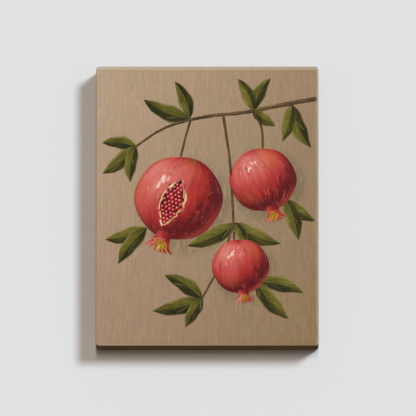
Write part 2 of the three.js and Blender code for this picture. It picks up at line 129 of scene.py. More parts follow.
class WoodSettings(bpy.types.PropertyGroup):
    pine: colour_setting("Pine", "Colour of the stretcher bars", (0.86, 0.74, 0.55))
    grain: colour_setting("Late wood", "Colour of the bars' growth rings", (0.74, 0.57, 0.36))
    beech: colour_setting("Beech", "Colour of the corner keys", (0.85, 0.7, 0.53))
    ease: length_setting("Eased edges", "Rounding of the bars' long edges", 0.6 * MM)


class StageSettings(bpy.types.PropertyGroup):
    distance: length_setting("Camera distance", "From the picture to the camera", 18.0)
    below: angle_setting("Seen from below", "How far below the horizon the camera stands", math.radians(9.3))
    frame_width: length_setting("View width", "Width of what the camera sees at the picture", 0.5226)
    wall: colour_setting("Wall", "Colour of the painted wall", (0.906, 0.906, 0.906))
    key: strength_setting("Key light", "Strength of the light from the upper right", 2.11)
    fill: strength_setting("Fill light", "Strength of the upright strip of light in front", 0.874)
    room: strength_setting("Room light", "Strength of the light from all round", 0.148)


# ---- Modelling by hand ----


def deselect():
    bpy.ops.object.select_all(action="DESELECT")


def activate(*pieces):
    deselect()
    for piece in pieces:
        piece.select_set(True)
    bpy.context.view_layer.objects.active = pieces[0]


def start_from(kind, **settings):
    """A new primitive at its size and place, with its place in its mesh."""
    deselect()
    getattr(bpy.ops.mesh, f"primitive_{kind}_add")(**settings)
    piece = bpy.context.object
    activate(piece)
    bpy.ops.object.transform_apply(location=True, rotation=True, scale=True)
    return piece


def new_box(first, last):
    """A box between two opposite corners."""
    low, high = Vector(np.minimum(first, last)), Vector(np.maximum(first, last))
    return start_from("cube", size=1, location=(low + high) / 2, scale=high - low)


def new_piece(name, mesh):
    piece = bpy.data.objects.new(name, mesh)
    bpy.context.scene.collection.objects.link(piece)
    return piece


class Editing:
    """Edit mode on one piece, and the steps of modelling it by hand."""

    def __init__(self, piece):
        self.piece = piece

    def __enter__(self):
        activate(self.piece)
        bpy.ops.object.mode_set(mode="EDIT")
        bpy.ops.mesh.select_all(action="DESELECT")
        return self

    def __exit__(self, *problem):
        bpy.ops.object.mode_set(mode="OBJECT")

    def pick(self, kind, test):
        """Selects the faces, edges or vertices that pass a test, and nothing else."""
        bpy.ops.mesh.select_mode(type=kind)
        bpy.ops.mesh.select_all(action="DESELECT")
        mesh = bmesh.from_edit_mesh(self.piece.data)
        for part in {"VERT": mesh.verts, "EDGE": mesh.edges, "FACE": mesh.faces}[kind]:
            if test(part):
                part.select_set(True)
        bmesh.update_edit_mesh(self.piece.data)

    def pick_all(self):
        bpy.ops.mesh.select_all(action="SELECT")

    def cut(self, place, normal, **options):
        """Cuts the whole piece along a plane."""
        self.pick_all()
        bpy.ops.mesh.bisect(plane_co=place, plane_no=normal, **options)

    def slice(self, axis, low, high, pitch):
        """Cuts the piece into strips along an axis, so that it can bend."""
        normal = Vector((axis == 0, axis == 1, axis == 2))
        count = round((high - low) / pitch)
        for i in range(1, count):
            self.cut(normal * (low + (high - low) * i / count), normal)

    def bevel(self, kind, test, width, segments):
        """Rounds the edges that pass a test, or those round the faces that do."""
        self.pick(kind, test)
        bpy.ops.mesh.bevel(offset=width, segments=segments, affect="EDGES")

    def extrude(self, *by):
        bpy.ops.mesh.extrude_region_move(TRANSFORM_OT_translate={"value": by})

    def move(self, *by):
        bpy.ops.transform.translate(value=by)

    def scale(self, by, about):
        bpy.ops.transform.resize(value=by, center_override=about)

    def merge(self, distance):
        self.pick_all()
        bpy.ops.mesh.remove_doubles(threshold=distance)

    def face_out(self):
        """Turns every face outwards."""
        self.pick_all()
        bpy.ops.mesh.normals_make_consistent(inside=False)


def smooth(piece, degrees=35):
    activate(piece)
    bpy.ops.object.shade_smooth_by_angle(angle=math.radians(degrees))


def middle(edge_or_face):
    """The middle of an edge or a face of an edit mesh."""
    return sum((v.co for v in edge_or_face.verts), Vector()) / len(edge_or_face.verts)


def gathered(name, shapes, degrees):
    """One piece of many closed shapes, each given by its corners and its faces."""
    starts = np.cumsum([0] + [len(corners) for corners, _ in shapes])
    faces = [tuple(start + v for v in face) for start, shape in zip(starts, shapes) for face in shape[1]]
    mesh = bpy.data.meshes.new(name)
    mesh.from_pydata(np.concatenate([corners for corners, _ in shapes]), [], faces)
    piece = new_piece(name, mesh)
    with Editing(piece) as work:
        work.face_out()
    smooth(piece, degrees)
    return piece


def finish_piece(piece, name, slot, material=None, replaced=()):
    """Names a piece, gives it its finish, attaches it to the body and hides the frame nodes that it replaces.
    """
    piece.name = name
    piece.data.name = name
    if material:
        piece.data.materials.clear()
        piece.data.materials.append(material)
    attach(piece, BODY)
    if replaced:
        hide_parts(*replaced)
    deselect()
    return piece


# ---- Finishes ----


def maths(operation, backwards=False):
    """A method of a value that adds a Math node. Backwards, the value comes last in it."""

    def method(value, *others):
        inputs = (*others, value) if backwards else (value, *others)
        return value.nodes.node("ShaderNodeMath", {"operation": operation}, dict(enumerate(inputs)))

    return method


class Value:
    """A node's output that takes part in arithmetic, which adds Math nodes."""

    def __init__(self, nodes, socket):
        self.nodes = nodes
        self.socket = socket

    __add__ = __radd__ = maths("ADD")
    __sub__ = maths("SUBTRACT")
    __rsub__ = maths("SUBTRACT", backwards=True)
    __mul__ = __rmul__ = maths("MULTIPLY")
    __truediv__ = maths("DIVIDE")
    __abs__ = maths("ABSOLUTE")
    largest = maths("MAXIMUM")
    smallest = maths("MINIMUM")
    sine = maths("SINE")

    def step(self, low, high):
        """0 below low, 1 above high, and smooth between."""
        inputs = {"Value": self, "From Min": low, "From Max": high}
        return self.nodes.node("ShaderNodeMapRange", {"interpolation_type": "SMOOTHSTEP"}, inputs)

    def wave(self, turns):
        """A sine of this value, from 0 to 1, with this many turns for each unit."""
        return (self * (2 * math.pi * turns)).sine() * 0.5 + 0.5


class Nodes:
    """A node tree that is built from expressions."""

    def __init__(self, tree):
        self.tree = tree

    def node(self, kind, settings=None, inputs=None, output=0):
        """Adds a node: its settings first, then the values or links of its sockets."""
        made = self.tree.nodes.new(kind)
        for name, value in (settings or {}).items():
            setattr(made, name, value)
        for name, value in (inputs or {}).items():
            self.put(made.inputs[name], value)
        return Value(self, made.outputs[output])

    def put(self, socket, value):
        """Links a socket to a node's output, or gives it a value. None leaves it as it is."""
        if isinstance(value, Value):
            self.tree.links.new(value.socket, socket)
        elif socket.type == "RGBA":
            socket.default_value = (*value, 1)
        elif value is not None:
            socket.default_value = value


class Finish(Nodes):
    """A material that is built from expressions."""

    def __init__(self, name, **constants):
        self.material = bpy.data.materials.new(name)
        self.material.use_nodes = True
        super().__init__(self.material.node_tree)
        self.shader = self.tree.nodes["Principled BSDF"]
        for socket, value in constants.items():
            self.put(self.shader.inputs[socket.replace("_", " ")], value)

    def done(self, colour, relief, roughness=None):
        """The finished material: what changes over its surface goes to the shader."""
        self.put(self.shader.inputs["Base Color"], colour)
        self.put(self.shader.inputs["Normal"], relief)
        self.put(self.shader.inputs["Roughness"], roughness)
        return self.material

    def stretched(self, vector, by):
        return self.node("ShaderNodeVectorMath", {"operation": "MULTIPLY"}, {0: vector, 1: by})

    def place(self, stretch=None, turn=None):
        """Object coordinates, turned and then stretched."""
        turned = self.node("ShaderNodeTexCoord", output="Object")
        if turn:
            turned = self.node("ShaderNodeMapping", {}, {"Vector": turned, "Rotation": turn})
        return self.stretched(turned, stretch) if stretch else turned

    def axes(self, vector):
        """The three parts of a vector."""
        parts = self.node("ShaderNodeSeparateXYZ", {}, {0: vector}).socket.node
        return [Value(self, output) for output in parts.outputs]

    def noise(self, at, size, detail, roughness=0.5, distortion=0.0):
        """Noise from 0 to 1, whose grains are this many metres across, at a vector or at stretched places."""
        vector = at if isinstance(at, Value) else self.place(at)
        inputs = {"Vector": vector, "Scale": 1 / size, "Detail": detail, "Roughness": roughness}
        return self.node("ShaderNodeTexNoise", {}, {**inputs, "Distortion": distortion})

    def mix(self, factor, first, second):
        """A mix of two colours."""
        return self.node("ShaderNodeMix", {"data_type": "RGBA"}, {0: factor, 6: first, 7: second}, output=2)

    def shade(self, colour, factor):
        """A colour made lighter or darker by a factor round 1."""
        grey = self.node("ShaderNodeCombineXYZ", {}, {0: factor, 1: factor, 2: factor})
        return self.stretched(colour, grey)

    def bump(self, height, depth, strength, under=None):
        """A Bump node for relief this many metres deep, on top of the relief under it."""
        inputs = {"Height": height, "Distance": depth, "Strength": strength, "Normal": under}
        return self.node("ShaderNodeBump", {}, inputs)


def linear(rgb):
    """A screen colour, from 0 to 1, as the light that it stands for."""
    rgb = np.asarray(rgb, dtype=float)
    return np.where(rgb <= 0.04045, rgb / 12.92, ((rgb + 0.055) / 1.055) ** 2.4)


def paint_rgb(*rgb):
    """The paint's own colour, from the one that it shows in the light of the room, from 0 to 255."""
    room_light = 0.93
    return linear(np.array(rgb) / 255) / room_light


# The ground's colour at the picture's corners, by height and side.
GROUND_TOP_LEFT = paint_rgb(183, 157, 130)
GROUND_TOP_RIGHT = paint_rgb(158, 131, 102)
GROUND_BOTTOM_LEFT = paint_rgb(164, 134, 109)
GROUND_BOTTOM_RIGHT = paint_rgb(141, 117, 84)
SIDE_UMBER = paint_rgb(134, 114, 86)
PRIMER = paint_rgb(222, 214, 202)
WEAVE_PITCH = 0.62 * MM


def weave(finish):
    """The relief of a plain weave, from 0 to 1, in front and behind: threads that pass over and under."""
    x, _, z = finish.axes(finish.place())
    over = x.wave(0.5 / WEAVE_PITCH) * z.wave(0.5 / WEAVE_PITCH)
    return x.wave(1 / WEAVE_PITCH) * over + z.wave(1 / WEAVE_PITCH) * (1 - over)


def sheet_finish():
    """The painted side of the sheet: ground colour in front, its continuation on the sides, primer behind."""
    settings = bpy.context.scene.picture_sheet
    made = Finish("painted_sheet", Specular_IOR_Level=0.0)
    place = made.place()
    x, y, z = made.axes(place)
    across = (x + HALF_W) / (2 * HALF_W)
    up = (z - (MIDDLE_Z - HALF_H)) / (2 * HALF_H)
    top = made.mix(across, GROUND_TOP_LEFT, GROUND_TOP_RIGHT)
    bottom = made.mix(across, GROUND_BOTTOM_LEFT, GROUND_BOTTOM_RIGHT)
    ground = made.mix(up, bottom, top)
    streaks = made.noise((1, 1, 0.09), 1.6 * MM, 3, 0.6)
    patches = made.noise(place, 30 * MM, 3)
    ground = made.shade(ground, 0.8 + 0.26 * streaks + 0.14 * patches)

    # The sides have a thin wash of umber.
    past = y - FACE_Y
    scrub = made.noise((0.4, 1, 0.4), 3 * MM, 4, 0.6)
    washed = (past + 3 * MM * scrub).step(4.5 * MM, 7 * MM)
    upright = (abs(x) - HALF_W).step(-1 * MM, -0.5 * MM)
    level_strokes = made.noise((0.05, 1, 1), 1.3 * MM, 4, 0.65, 0.4)
    upright_strokes = made.noise((1, 1, 0.05), 1.3 * MM, 4, 0.65, 0.4)
    strokes = level_strokes * (1 - upright) + upright_strokes * upright
    thin = strokes.step(0.5, 0.72) * made.noise(place, 12 * MM, 3).step(0.42, 0.62)
    umber = made.shade(SIDE_UMBER, 0.55 + 0.6 * strokes + 0.3 * patches)
    ground = made.mix(washed, ground, made.mix(0.4 * thin, umber, PRIMER))

    # The rounded edge is painted lighter with primer, most at the top: worn paint and a painted highlight
    # where the edge faces the light, and on the left and bottom edges painted light that lifts their shade.
    rim = 4 * MM
    rim_wear_and_highlight = 0.24 * (z - (MIDDLE_Z + HALF_H - 1.2 * rim)).step(0.0, 0.7 * MM)
    rim_wear_and_highlight = rim_wear_and_highlight.largest(0.18 * (x - (HALF_W - 0.8 * rim)).step(0.0, 0.5 * MM))
    rim_wear_and_highlight = rim_wear_and_highlight.largest(0.2 * (-1 * x - (HALF_W - rim / 2)).step(0.0, 0.5 * MM))
    rim_wear_and_highlight = rim_wear_and_highlight * (1 - past.step(3 * MM, 6 * MM))
    # The bottom edge is painted lighter too: painted light that lifts its shade, fading to the right.
    below = (MIDDLE_Z - HALF_H + rim / 2 - z).step(0.0, 0.5 * MM) * (1 - past.step(0.8 * MM, 1.4 * MM))
    rim_wear_and_highlight = rim_wear_and_highlight.largest((0.15 - 0.13 * across) * below) * (0.7 + 0.6 * scrub)
    ground = made.mix(rim_wear_and_highlight, ground, PRIMER)

    # Behind, the flap is bare primer with smears of ground colour along its fold.
    behind = y - BACK_Y
    ragged = made.noise(place, 6 * MM, 4, 0.6) * (9 * MM)
    from_side, from_end = HALF_W - abs(x), HALF_H - abs(z - MIDDLE_Z)
    bare = behind.step(-1.2 * MM, -0.7 * MM) * (from_side.smallest(from_end) + ragged).step(6 * MM, 8 * MM)
    primed = made.shade(made.mix(patches, settings.primer, settings.raw), 0.9 + 0.1 * streaks)
    painted = made.mix(bare, ground, primed)

    # The creases of the folded corners, which slant on the sides and are mitred behind, are painted darker:
    # a painted shade line in each fold.
    level = (1 - upright) * past.step(4 * MM, 5 * MM) * (1 - behind.step(-2 * MM, -1 * MM))
    slant = 1 - abs(from_side - settings.corner_radius - past + 4.5 * MM).step(0.15 * MM, 0.7 * MM)
    mitre = 1 - abs(from_side - from_end).step(0.15 * MM, 0.7 * MM)
    on_flap = behind.step(-0.6 * MM, -0.3 * MM) * (1 - from_side.step(settings.flap - MM, settings.flap))
    crease_shaded = made.shade(painted, 1 - 0.5 * (level * slant).largest(0.8 * (mitre * on_flap)))

    bristles = made.noise((1, 1, 0.05), 0.45 * MM, 3, 0.6)
    relief = made.bump(bristles, 0.16 * MM, 0.6, made.bump(weave(made), 0.09 * MM, 0.55))
    return made.done(crease_shaded, relief, 0.62 + 0.16 * patches)


def raw_cotton():
    """The unprimed back of the sheet."""
    made = Finish("raw_cotton", Roughness=0.95)
    threads = weave(made)
    slubs = made.noise((1, 1, 0.12), 0.9 * MM, 3)
    cross = made.noise((0.12, 1, 1), 0.9 * MM, 3)
    stains = made.noise(None, 45 * MM, 3)
    shade = 0.74 + 0.16 * threads + 0.09 * slubs + 0.09 * cross + 0.1 * stains
    raw = linear(bpy.context.scene.picture_sheet.raw)
    cloth = made.shade(made.mix(stains, raw, 0.9 * raw), shade)
    return made.done(cloth, made.bump(threads + 0.7 * slubs + 0.7 * cross, 0.16 * MM, 0.8))


def thread_cotton():
    """The loose threads, paler than the cloth."""
    made = Finish("thread_cotton", Roughness=0.95)
    twist = made.noise(None, 0.5 * MM, 3)
    raw = linear(bpy.context.scene.picture_sheet.raw)
    cotton = made.mix(twist, 0.95 * raw, np.minimum(1.2 * raw, 1))
    return made.done(cotton, made.bump(twist, 0.05 * MM, 0.5))


def oil_paint(name, gloss=0.0):
    """Dry oil paint: each mark's own colour, furrowed along the brush's path."""
    made = Finish(name, Specular_IOR_Level=0.12)
    along = made.stretched(made.node("ShaderNodeUVMap", {"uv_map": "bristles"}), (0.05, 1, 1))
    furrows = made.noise(along, 0.55 * MM, 3, 0.6)
    hairs = made.noise(along, 0.22 * MM, 2, 0.5)
    clots = made.noise(None, 2.4 * MM, 3)
    own = made.node("ShaderNodeAttribute", {"attribute_name": "paint"})
    relief = made.bump(hairs, 0.07 * MM, 0.6, made.bump(furrows, 0.2 * MM, 0.8))
    rough = bpy.context.scene.picture_paint.roughness - gloss
    return made.done(made.shade(own, 0.83 + 0.24 * furrows + 0.1 * clots), relief, rough + 0.2 * clots)


def planed_wood(name, light, dark, turn, ring):
    """Planed wood whose grain runs along X once it is turned, with growth rings this far apart."""
    made = Finish(name, IOR=1.45)
    trunk = 22 * MM
    rings_at = made.noise(made.place((0.03, 1, 1), turn), trunk, 2, 0.4)
    bend = made.noise(made.place((0.12, 1, 1), turn), 9 * MM, 2)
    rings = ((rings_at + 0.12 * bend) * (trunk / ring)).wave(2.2)
    fibres = made.noise(made.place((0.02, 1, 1), turn), 0.5 * MM, 3, 0.6)
    pores = made.noise(made.place((0.06, 1, 1), turn), 0.28 * MM, 2).step(0.62, 0.75)
    handled = made.noise(None, 35 * MM, 3)
    wood = made.mix(rings.step(0.45, 1.0) * 0.75, linear(light), linear(dark))
    wood = made.shade(wood, 0.84 + 0.2 * fibres - 0.16 * pores + 0.08 * handled)
    relief = made.bump(rings, 0.1 * MM, 0.3, made.bump(fibres - 0.5 * pores, 0.08 * MM, 0.7))
    return made.done(wood, relief, 0.55 + 0.2 * fibres)


def both_grains(name, light, dark, ring):
    """Planed wood whose grain lies level, and the same with its grain upright."""
    turns = {"level": None, "upright": (0, math.pi / 2, 0)}
    return {way: planed_wood(f"{name}_{way}", light, dark, turn, ring) for way, turn in turns.items()}


def plated_steel(name, tint, roughness):
    """Zinc-plated steel with a fine drawn grain and dull spangles."""
    made = Finish(name, Metallic=1.0)
    drawn = made.noise((0.05, 1, 1), 0.25 * MM, 2)
    spangle = made.noise(None, 1.8 * MM, 3)
    plating = made.mix(spangle, linear(tint), 0.72 * linear(tint))
    plating = made.shade(plating, 0.8 + 0.3 * drawn)
    return made.done(plating, made.bump(drawn, 0.02 * MM, 0.6), roughness + 0.2 * spangle)


def dull_rubber():
    made = Finish("dull_rubber")
    dust = made.noise(None, 1.2 * MM, 4)
    rubber = made.mix(dust, (0.028, 0.026, 0.025), (0.075, 0.07, 0.066))
    return made.done(rubber, made.bump(dust, 0.06 * MM, 0.5), 0.7 + 0.2 * dust)


# ---- Sums that several pieces share ----


def ahead(angle):
    """The direction at an angle, to the right and up."""
    return np.stack([np.cos(angle), np.sin(angle)], -1)


def beside(direction):
    """A direction turned to the left by a quarter."""
    return np.stack([-direction[..., 1], direction[..., 0]], -1)


def blend(first, second, share):
    """A mix of two colours or numbers, or of two lists of them."""
    return np.asarray(first) * (1 - share) + np.asarray(second) * share


def rise(value, low, high):
    """0 below low, 1 above high, and smooth between."""
    value = np.clip((value - low) / (high - low), 0, 1)
    return value * value * (3 - 2 * value)


def steps(value, stops):
    """A colour between the stops of a palette, from 0 to 1."""
    value = np.clip(value, 0, 1) * (len(stops) - 1)
    return np.stack([np.interp(value, range(len(stops)), [stop[i] for stop in stops]) for i in range(3)], -1)


# ---- The wrapped sheet ----


def on_outline(place, settings):
    """Whether a point lies on the picture's outline, with its four rounded corners."""
    x, z = HALF_W - abs(place.x), HALF_H - abs(place.z - MIDDLE_Z)
    radius = settings.corner_radius
    return min(x, z) < 0.1 * MM or max(x, z) < radius and math.hypot(radius - x, radius - z) > 0.9 * radius


def wrapped_sheet(settings):
    """One cloth over the front and sides, folded onto the back as a flap."""
    low, high = (-HALF_W, FACE_Y, MIDDLE_Z - HALF_H), (HALF_W, BACK_Y, MIDDLE_Z + HALF_H)
    near = 0.1 * MM

    def lies_at(edge, y):
        return all(abs(v.co.y - y) < near for v in edge.verts)

    def is_hem(edge):
        inner = lies_at(edge, BACK_Y) and not edge.is_boundary
        return inner and all(on_outline(v.co, settings) for v in edge.verts)

    sheet = new_box(low, high)
    with Editing(sheet) as work:
        work.pick("FACE", lambda f: f.normal.y > 0.9)
        bpy.ops.mesh.delete(type="FACE")
        work.bevel("EDGE", lambda e: abs(e.verts[0].co.y - e.verts[1].co.y) > near, settings.corner_radius, 5)
        work.bevel("EDGE", lambda e: lies_at(e, FACE_Y), settings.edge_radius, 6)
        work.pick("EDGE", lambda e: e.is_boundary)
        bpy.ops.mesh.extrude_edges_move()
        inner = ((HALF_W - settings.flap) / HALF_W, 1, (HALF_H - settings.flap) / HALF_H)
        work.scale(inner, (0, BACK_Y, MIDDLE_Z))
        work.bevel("EDGE", is_hem, settings.hem_radius, 3)
        for axis in range(3):
            work.slice(axis, low[axis], high[axis], settings.grid)
        work.merge(0.01 * MM)
        work.face_out()
    return sheet


def folded_triangle(corner, opposite, slope, is_outer, rounding):
    """Spare cloth, folded flat: a box between two corners, cut along its diagonal and rounded outside."""
    fold = new_box(corner, opposite)
    with Editing(fold) as work:
        work.cut(corner, slope, clear_inner=True, use_fill=True)
        work.bevel("EDGE", is_outer, rounding, 3)
        work.face_out()
    return fold


def side_fold(side_x, side_z, settings):
    """The cloth tucked under at a corner, on the picture's upper or lower side."""
    front = FACE_Y + 4.5 * MM
    run = BACK_Y - settings.hem_radius - front
    x = side_x * (HALF_W - settings.corner_radius)
    z = MIDDLE_Z + side_z * (HALF_H - 0.1 * FOLD)
    return folded_triangle(
        (x, front, z - FOLD), (x - side_x * run, front + run, z + FOLD), (side_x, -1, 0),
        lambda e: abs(middle(e).z - z - side_z * FOLD) < 0.01 * MM, 0.35 * MM,
    )


def back_fold(side_x, side_z, settings):
    """The flap's folded corner, on the back."""
    reach = settings.flap - 2 * MM
    x = side_x * (HALF_W - 2 * MM)
    z = MIDDLE_Z + side_z * (HALF_H - 2 * MM)
    return folded_triangle(
        (x, BACK_Y - FOLD / 2, z), (x - side_x * reach, BACK_Y + FOLD * 0.9, z - side_z * reach),
        (-side_x, 0, side_z), lambda e: middle(e).y > BACK_Y + FOLD * 0.8, 0.3 * MM,
    )


def pucker(sheet):
    """Presses the flap in under each staple and lets it rise in soft folds between them."""
    places = np.array([centre(name).xz for name in nodes_named("staple_")])
    for vertex in sheet.data.vertices:
        if vertex.co.y > BACK_Y - 0.6 * MM:
            off = np.hypot(*(places - vertex.co.xz).T).min() / MM
            vertex.co.y += 0.35 * MM * min(off / 30, 1) ** 2 - 0.1 * MM * math.exp(-((off / 6) ** 2))


def modelled_thread():
    """A thread 1 long along X, whose round section has a radius of 1."""
    upright = {"rotation": (0, math.pi / 2, 0), "location": (0.5, 0, 0)}
    thread = start_from("cylinder", vertices=5, radius=1, depth=1, **upright)
    with Editing(thread) as work:
        work.slice(0, 0, 1, 1 / 6)
        work.pick("VERT", lambda v: v.co.x > 0.99)
        work.scale((1, 0.4, 0.4), (1, 0, 0))
    return thread


def loose_threads(settings):
    """Threads that have come loose from the flap's cut edge, and lie on the backs of the bars."""
    draw = np.random.default_rng(7)
    thread = PATTERNS["thread"]
    s = thread.places[:, 0]
    edge = np.array([HALF_W, HALF_H]) - settings.flap
    shapes = []
    for _ in range(settings.threads):
        along = draw.choice(2, p=edge / edge.sum())
        root = edge * draw.choice([-1, 1], 2)
        root[along] *= draw.uniform(-0.98, 0.98)
        inward = math.pi / 2 * (1 - along) + (math.pi if root[1 - along] > 0 else 0)
        heading = ahead(inward + np.clip(draw.normal(0, 0.8), -1.35, 1.35) + draw.normal(0, 0.9) * s / 2)
        radius = draw.uniform(0.09, 0.15) * MM
        flat = root + heading * (draw.uniform(2, 8) * MM * s)[:, None]
        flat += beside(heading) * (radius * thread.places[:, 1])[:, None]
        over = (0.25 + 0.45 * rise(s, 0, 0.3) - draw.uniform(0, 0.9) * s**3) * MM
        out = BACK_Y - over + radius * thread.places[:, 2]
        shapes.append((np.stack([flat[:, 0], out, MIDDLE_Z + flat[:, 1]], 1), thread.faces))
    return finish_piece(gathered("loose_threads", shapes, 80), "loose_threads", "canvas", thread_cotton())


class PICTURE_OT_sheet(bpy.types.Operator):
    """Wrap the painted sheet round the bars"""

    bl_idname = "picture.sheet"
    bl_label = "Painted sheet"

    def execute(self, context):
        settings = context.scene.picture_sheet
        sheet = wrapped_sheet(settings)
        pucker(sheet)
        painted = sheet_finish()
        for finish in (painted, raw_cotton()):
            sheet.data.materials.append(finish)
        activate(sheet)
        cloth = sheet.modifiers.new("Cloth", "SOLIDIFY")
        cloth.thickness = settings.thickness
        cloth.offset = -1
        cloth.material_offset = 1
        bpy.ops.object.modifier_apply(modifier=cloth.name)
        folds = []
        for sides in itertools.product((-1, 1), repeat=2):
            folds += [side_fold(*sides, settings), back_fold(*sides, settings)]
        for fold in folds:
            fold.data.materials.append(painted)
        activate(sheet, *folds)
        bpy.ops.object.join()
        smooth(sheet)
        finish_piece(sheet, "canvas_sheet", "canvas", replaced=["canvas"])
        loose_threads(settings)
        return {"FINISHED"}


# ---- Wood and fittings ----


def eased_copy(node, ease, longer_than):
    """A copy of a frame node's solid, merged, with its long edges eased."""

    def is_long(edge):
        return edge.calc_length() > longer_than and edge.calc_face_angle(0) > math.radians(25)

    piece = new_piece(f"{node}_eased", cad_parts[node].data.copy())
    with Editing(piece) as work:
        work.merge(0.002 * MM)
        bpy.ops.mesh.dissolve_limited(angle_limit=math.radians(2))
        work.bevel("EDGE", is_long, ease, 3)
        work.merge(0.002 * MM)
    smooth(piece, 30)
    return piece


def replace_nodes(nodes, words, slot, finish, model):
    """Models a piece in place of each node. Its name is the node's, with one word changed for another."""
    for node in nodes:
        finish_piece(model(node), node.replace(*words), slot, finish, [node])


def replace_wood(nodes, words, slot, finishes, ease, longer_than):
    """Eased pieces in place of wooden nodes, each with its grain along its length."""
    for node in nodes:
        low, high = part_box(node)
        finish = finishes["level" if high.x - low.x > high.z - low.z else "upright"]
        replace_nodes([node], words, slot, finish, lambda node: eased_copy(node, ease, longer_than))


class PICTURE_OT_bars(bpy.types.Operator):
    """Plane the four stretcher bars"""

    bl_idname = "picture.bars"
    bl_label = "Stretcher bars"

    def execute(self, context):
        settings = context.scene.picture_wood
        pine = both_grains("pine", settings.pine, settings.grain, 4.5 * MM)
        replace_wood(BARS, ("bar", "stretcher"), "wood", pine, settings.ease, 20 * MM)
        return {"FINISHED"}


class PICTURE_OT_keys(bpy.types.Operator):
    """Cut the keys of the corner joints"""

    bl_idname = "picture.keys"
    bl_label = "Corner keys"

    def execute(self, context):
        light = np.array(context.scene.picture_wood.beech)
        beech = both_grains("beech", light, 0.92 * light, 2 * MM)
        replace_wood(nodes_named("key_"), ("key", "wedge"), "key_wood", beech, 0.35 * MM, 3 * MM)
        return {"FINISHED"}


def crown_direction(node):
    """The angle of a staple's crown on the picture's back, from its frame node."""
    places = np.array([v.co.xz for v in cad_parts[node].data.vertices])
    along = np.linalg.svd(places - places.mean(0), full_matrices=False)[2][0]
    return math.atan2(along[1], along[0])


def modelled_staple():
    """One wire staple at the origin: its crown lies along X and its legs point to the front."""
    half, wire, width, leg = 5 * MM, 0.6 * MM, 1.2 * MM, 7.3 * MM
    staple = new_box((-half, 0.05 * MM, -width / 2), (half, wire, width / 2))
    with Editing(staple) as work:
        for side in (-1, 1):
            work.cut((side * (half - wire), 0, 0), (1, 0, 0))
        work.pick("FACE", lambda f: f.normal.y < -0.9 and abs(middle(f).x) > half - wire)
        work.extrude(0, -leg, 0)
        work.bevel("EDGE", lambda e: e.calc_face_angle(0) > math.radians(40), 0.16 * MM, 2)
    smooth(staple, 50)
    return staple


class PICTURE_OT_staples(bpy.types.Operator):
    """Drive the staples through the flap"""

    bl_idname = "picture.staples"
    bl_label = "Staples"

    def execute(self, context):
        pattern = modelled_staple()
        wire = plated_steel("staple_wire", (0.76, 0.76, 0.75), 0.36)

        def laid_staple(node):
            place = centre(node)
            place.y = BACK_Y
            staple = new_piece(node, pattern.data.copy())
            staple.data.transform(Matrix.Translation(place) @ Matrix.Rotation(-crown_direction(node), 4, "Y"))
            return staple

        replace_nodes(nodes_named("staple_"), ("staple", "wire_staple"), "staple_steel", wire, laid_staple)
        bpy.data.objects.remove(pattern)
        return {"FINISHED"}


def new_disc(node, vertices, depth):
    """A disc as wide as a node's box, at the back of that box."""
    low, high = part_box(node)
    place = centre(node)
    place.y = high.y - depth / 2
    size = {"radius": (high.x - low.x) / 2, "depth": depth}
    return start_from("cylinder", vertices=vertices, **size, rotation=(math.pi / 2, 0, 0), location=place)


def modelled_nail(node):
    """A small round-headed nail in the place of its frame node."""
    low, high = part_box(node)
    x, _, z = centre(node)
    head, shank, shaft, tip = (high.x - low.x) / 2, 0.6 * MM, 7 * MM, 1 * MM
    nail = new_disc(node, 24, 0.6 * MM)
    with Editing(nail) as work:
        work.pick("FACE", lambda f: f.normal.y < -0.9)
        bpy.ops.mesh.inset(thickness=head - shank)
        work.extrude(0, -shaft, 0)
        work.extrude(0, -tip, 0)
        work.scale((0.2, 1, 0.2), (x, low.y, z))
        work.bevel("FACE", lambda f: f.normal.y > 0.9, 0.3 * MM, 3)
    smooth(nail)
    return nail


class PICTURE_OT_hanger(bpy.types.Operator):
    """Nail the sawtooth hanger to the top bar"""

    bl_idname = "picture.hanger"
    bl_label = "Sawtooth hanger"

    def execute(self, context):
        zinc = plated_steel("hanger_zinc", (0.8, 0.78, 0.73), 0.38)
        hanger = eased_copy("hanger", 0.14 * MM, 1.2 * MM)
        finish_piece(hanger, "sawtooth_hanger", "hanger_steel", zinc, ["hanger"])
        replace_nodes(nodes_named("nail_"), ("nail", "tack"), "hanger_steel", zinc, modelled_nail)
        return {"FINISHED"}


def modelled_bumper(node):
    """A rubber bumper with a rounded rim and a dimple, in the place of its frame node."""
    low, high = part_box(node)
    bumper = new_disc(node, 48, high.y - low.y)
    with Editing(bumper) as work:
        work.bevel("FACE", lambda f: f.normal.y > 0.9, 0.9 * MM, 5)
        work.pick("FACE", lambda f: f.normal.y > 0.99)
        bpy.ops.mesh.inset(thickness=2.4 * MM)
        work.move(0, -0.25 * MM, 0)
    smooth(bumper)
    return bumper


class PICTURE_OT_bumpers(bpy.types.Operator):
    """Stick the bumpers to the lower corners"""

    bl_idname = "picture.bumpers"
    bl_label = "Wall bumpers"

    def execute(self, context):
        words = ("bumper", "rubber_bumper")
        replace_nodes(nodes_named("bumper_"), words, "rubber", dull_rubber(), modelled_bumper)
        return {"FINISHED"}


# ---- Patterns: shapes that are modelled once, and laid many times ----

PATTERNS = {}
ROWS = 9
COLUMNS = 7


class Pattern:
    """A closed shape that is modelled once. X and Y lie in the picture, and Z stands out from it."""

    def __init__(self, piece):
        self.places = np.array([v.co for v in piece.data.vertices])
        self.faces = [tuple(polygon.vertices) for polygon in piece.data.polygons]
        bpy.data.objects.remove(piece)


class BrushMark(Pattern):
    """One mark of a flat brush, 1 long and 1 wide, with ridges where its hairs part."""

    def __init__(self):
        super().__init__(modelled_mark())
        self.row = np.rint((self.places[:, 0] + 0.5) * (ROWS - 1)).astype(int)
        self.across = 2 * self.places[:, 1]
        self.height = self.places[:, 2]
        self.column = np.zeros(len(self.row), int)
        for row in range(ROWS):
            here = np.where(self.row == row)[0]
            self.column[here[np.argsort(self.across[here])]] = np.arange(len(here))
        ends = np.array([1, 0.45, *[0] * (ROWS - 4), 0.45, 1])
        self.soft = np.clip(abs(self.across) ** 3 + ends[self.row], 0, 1)


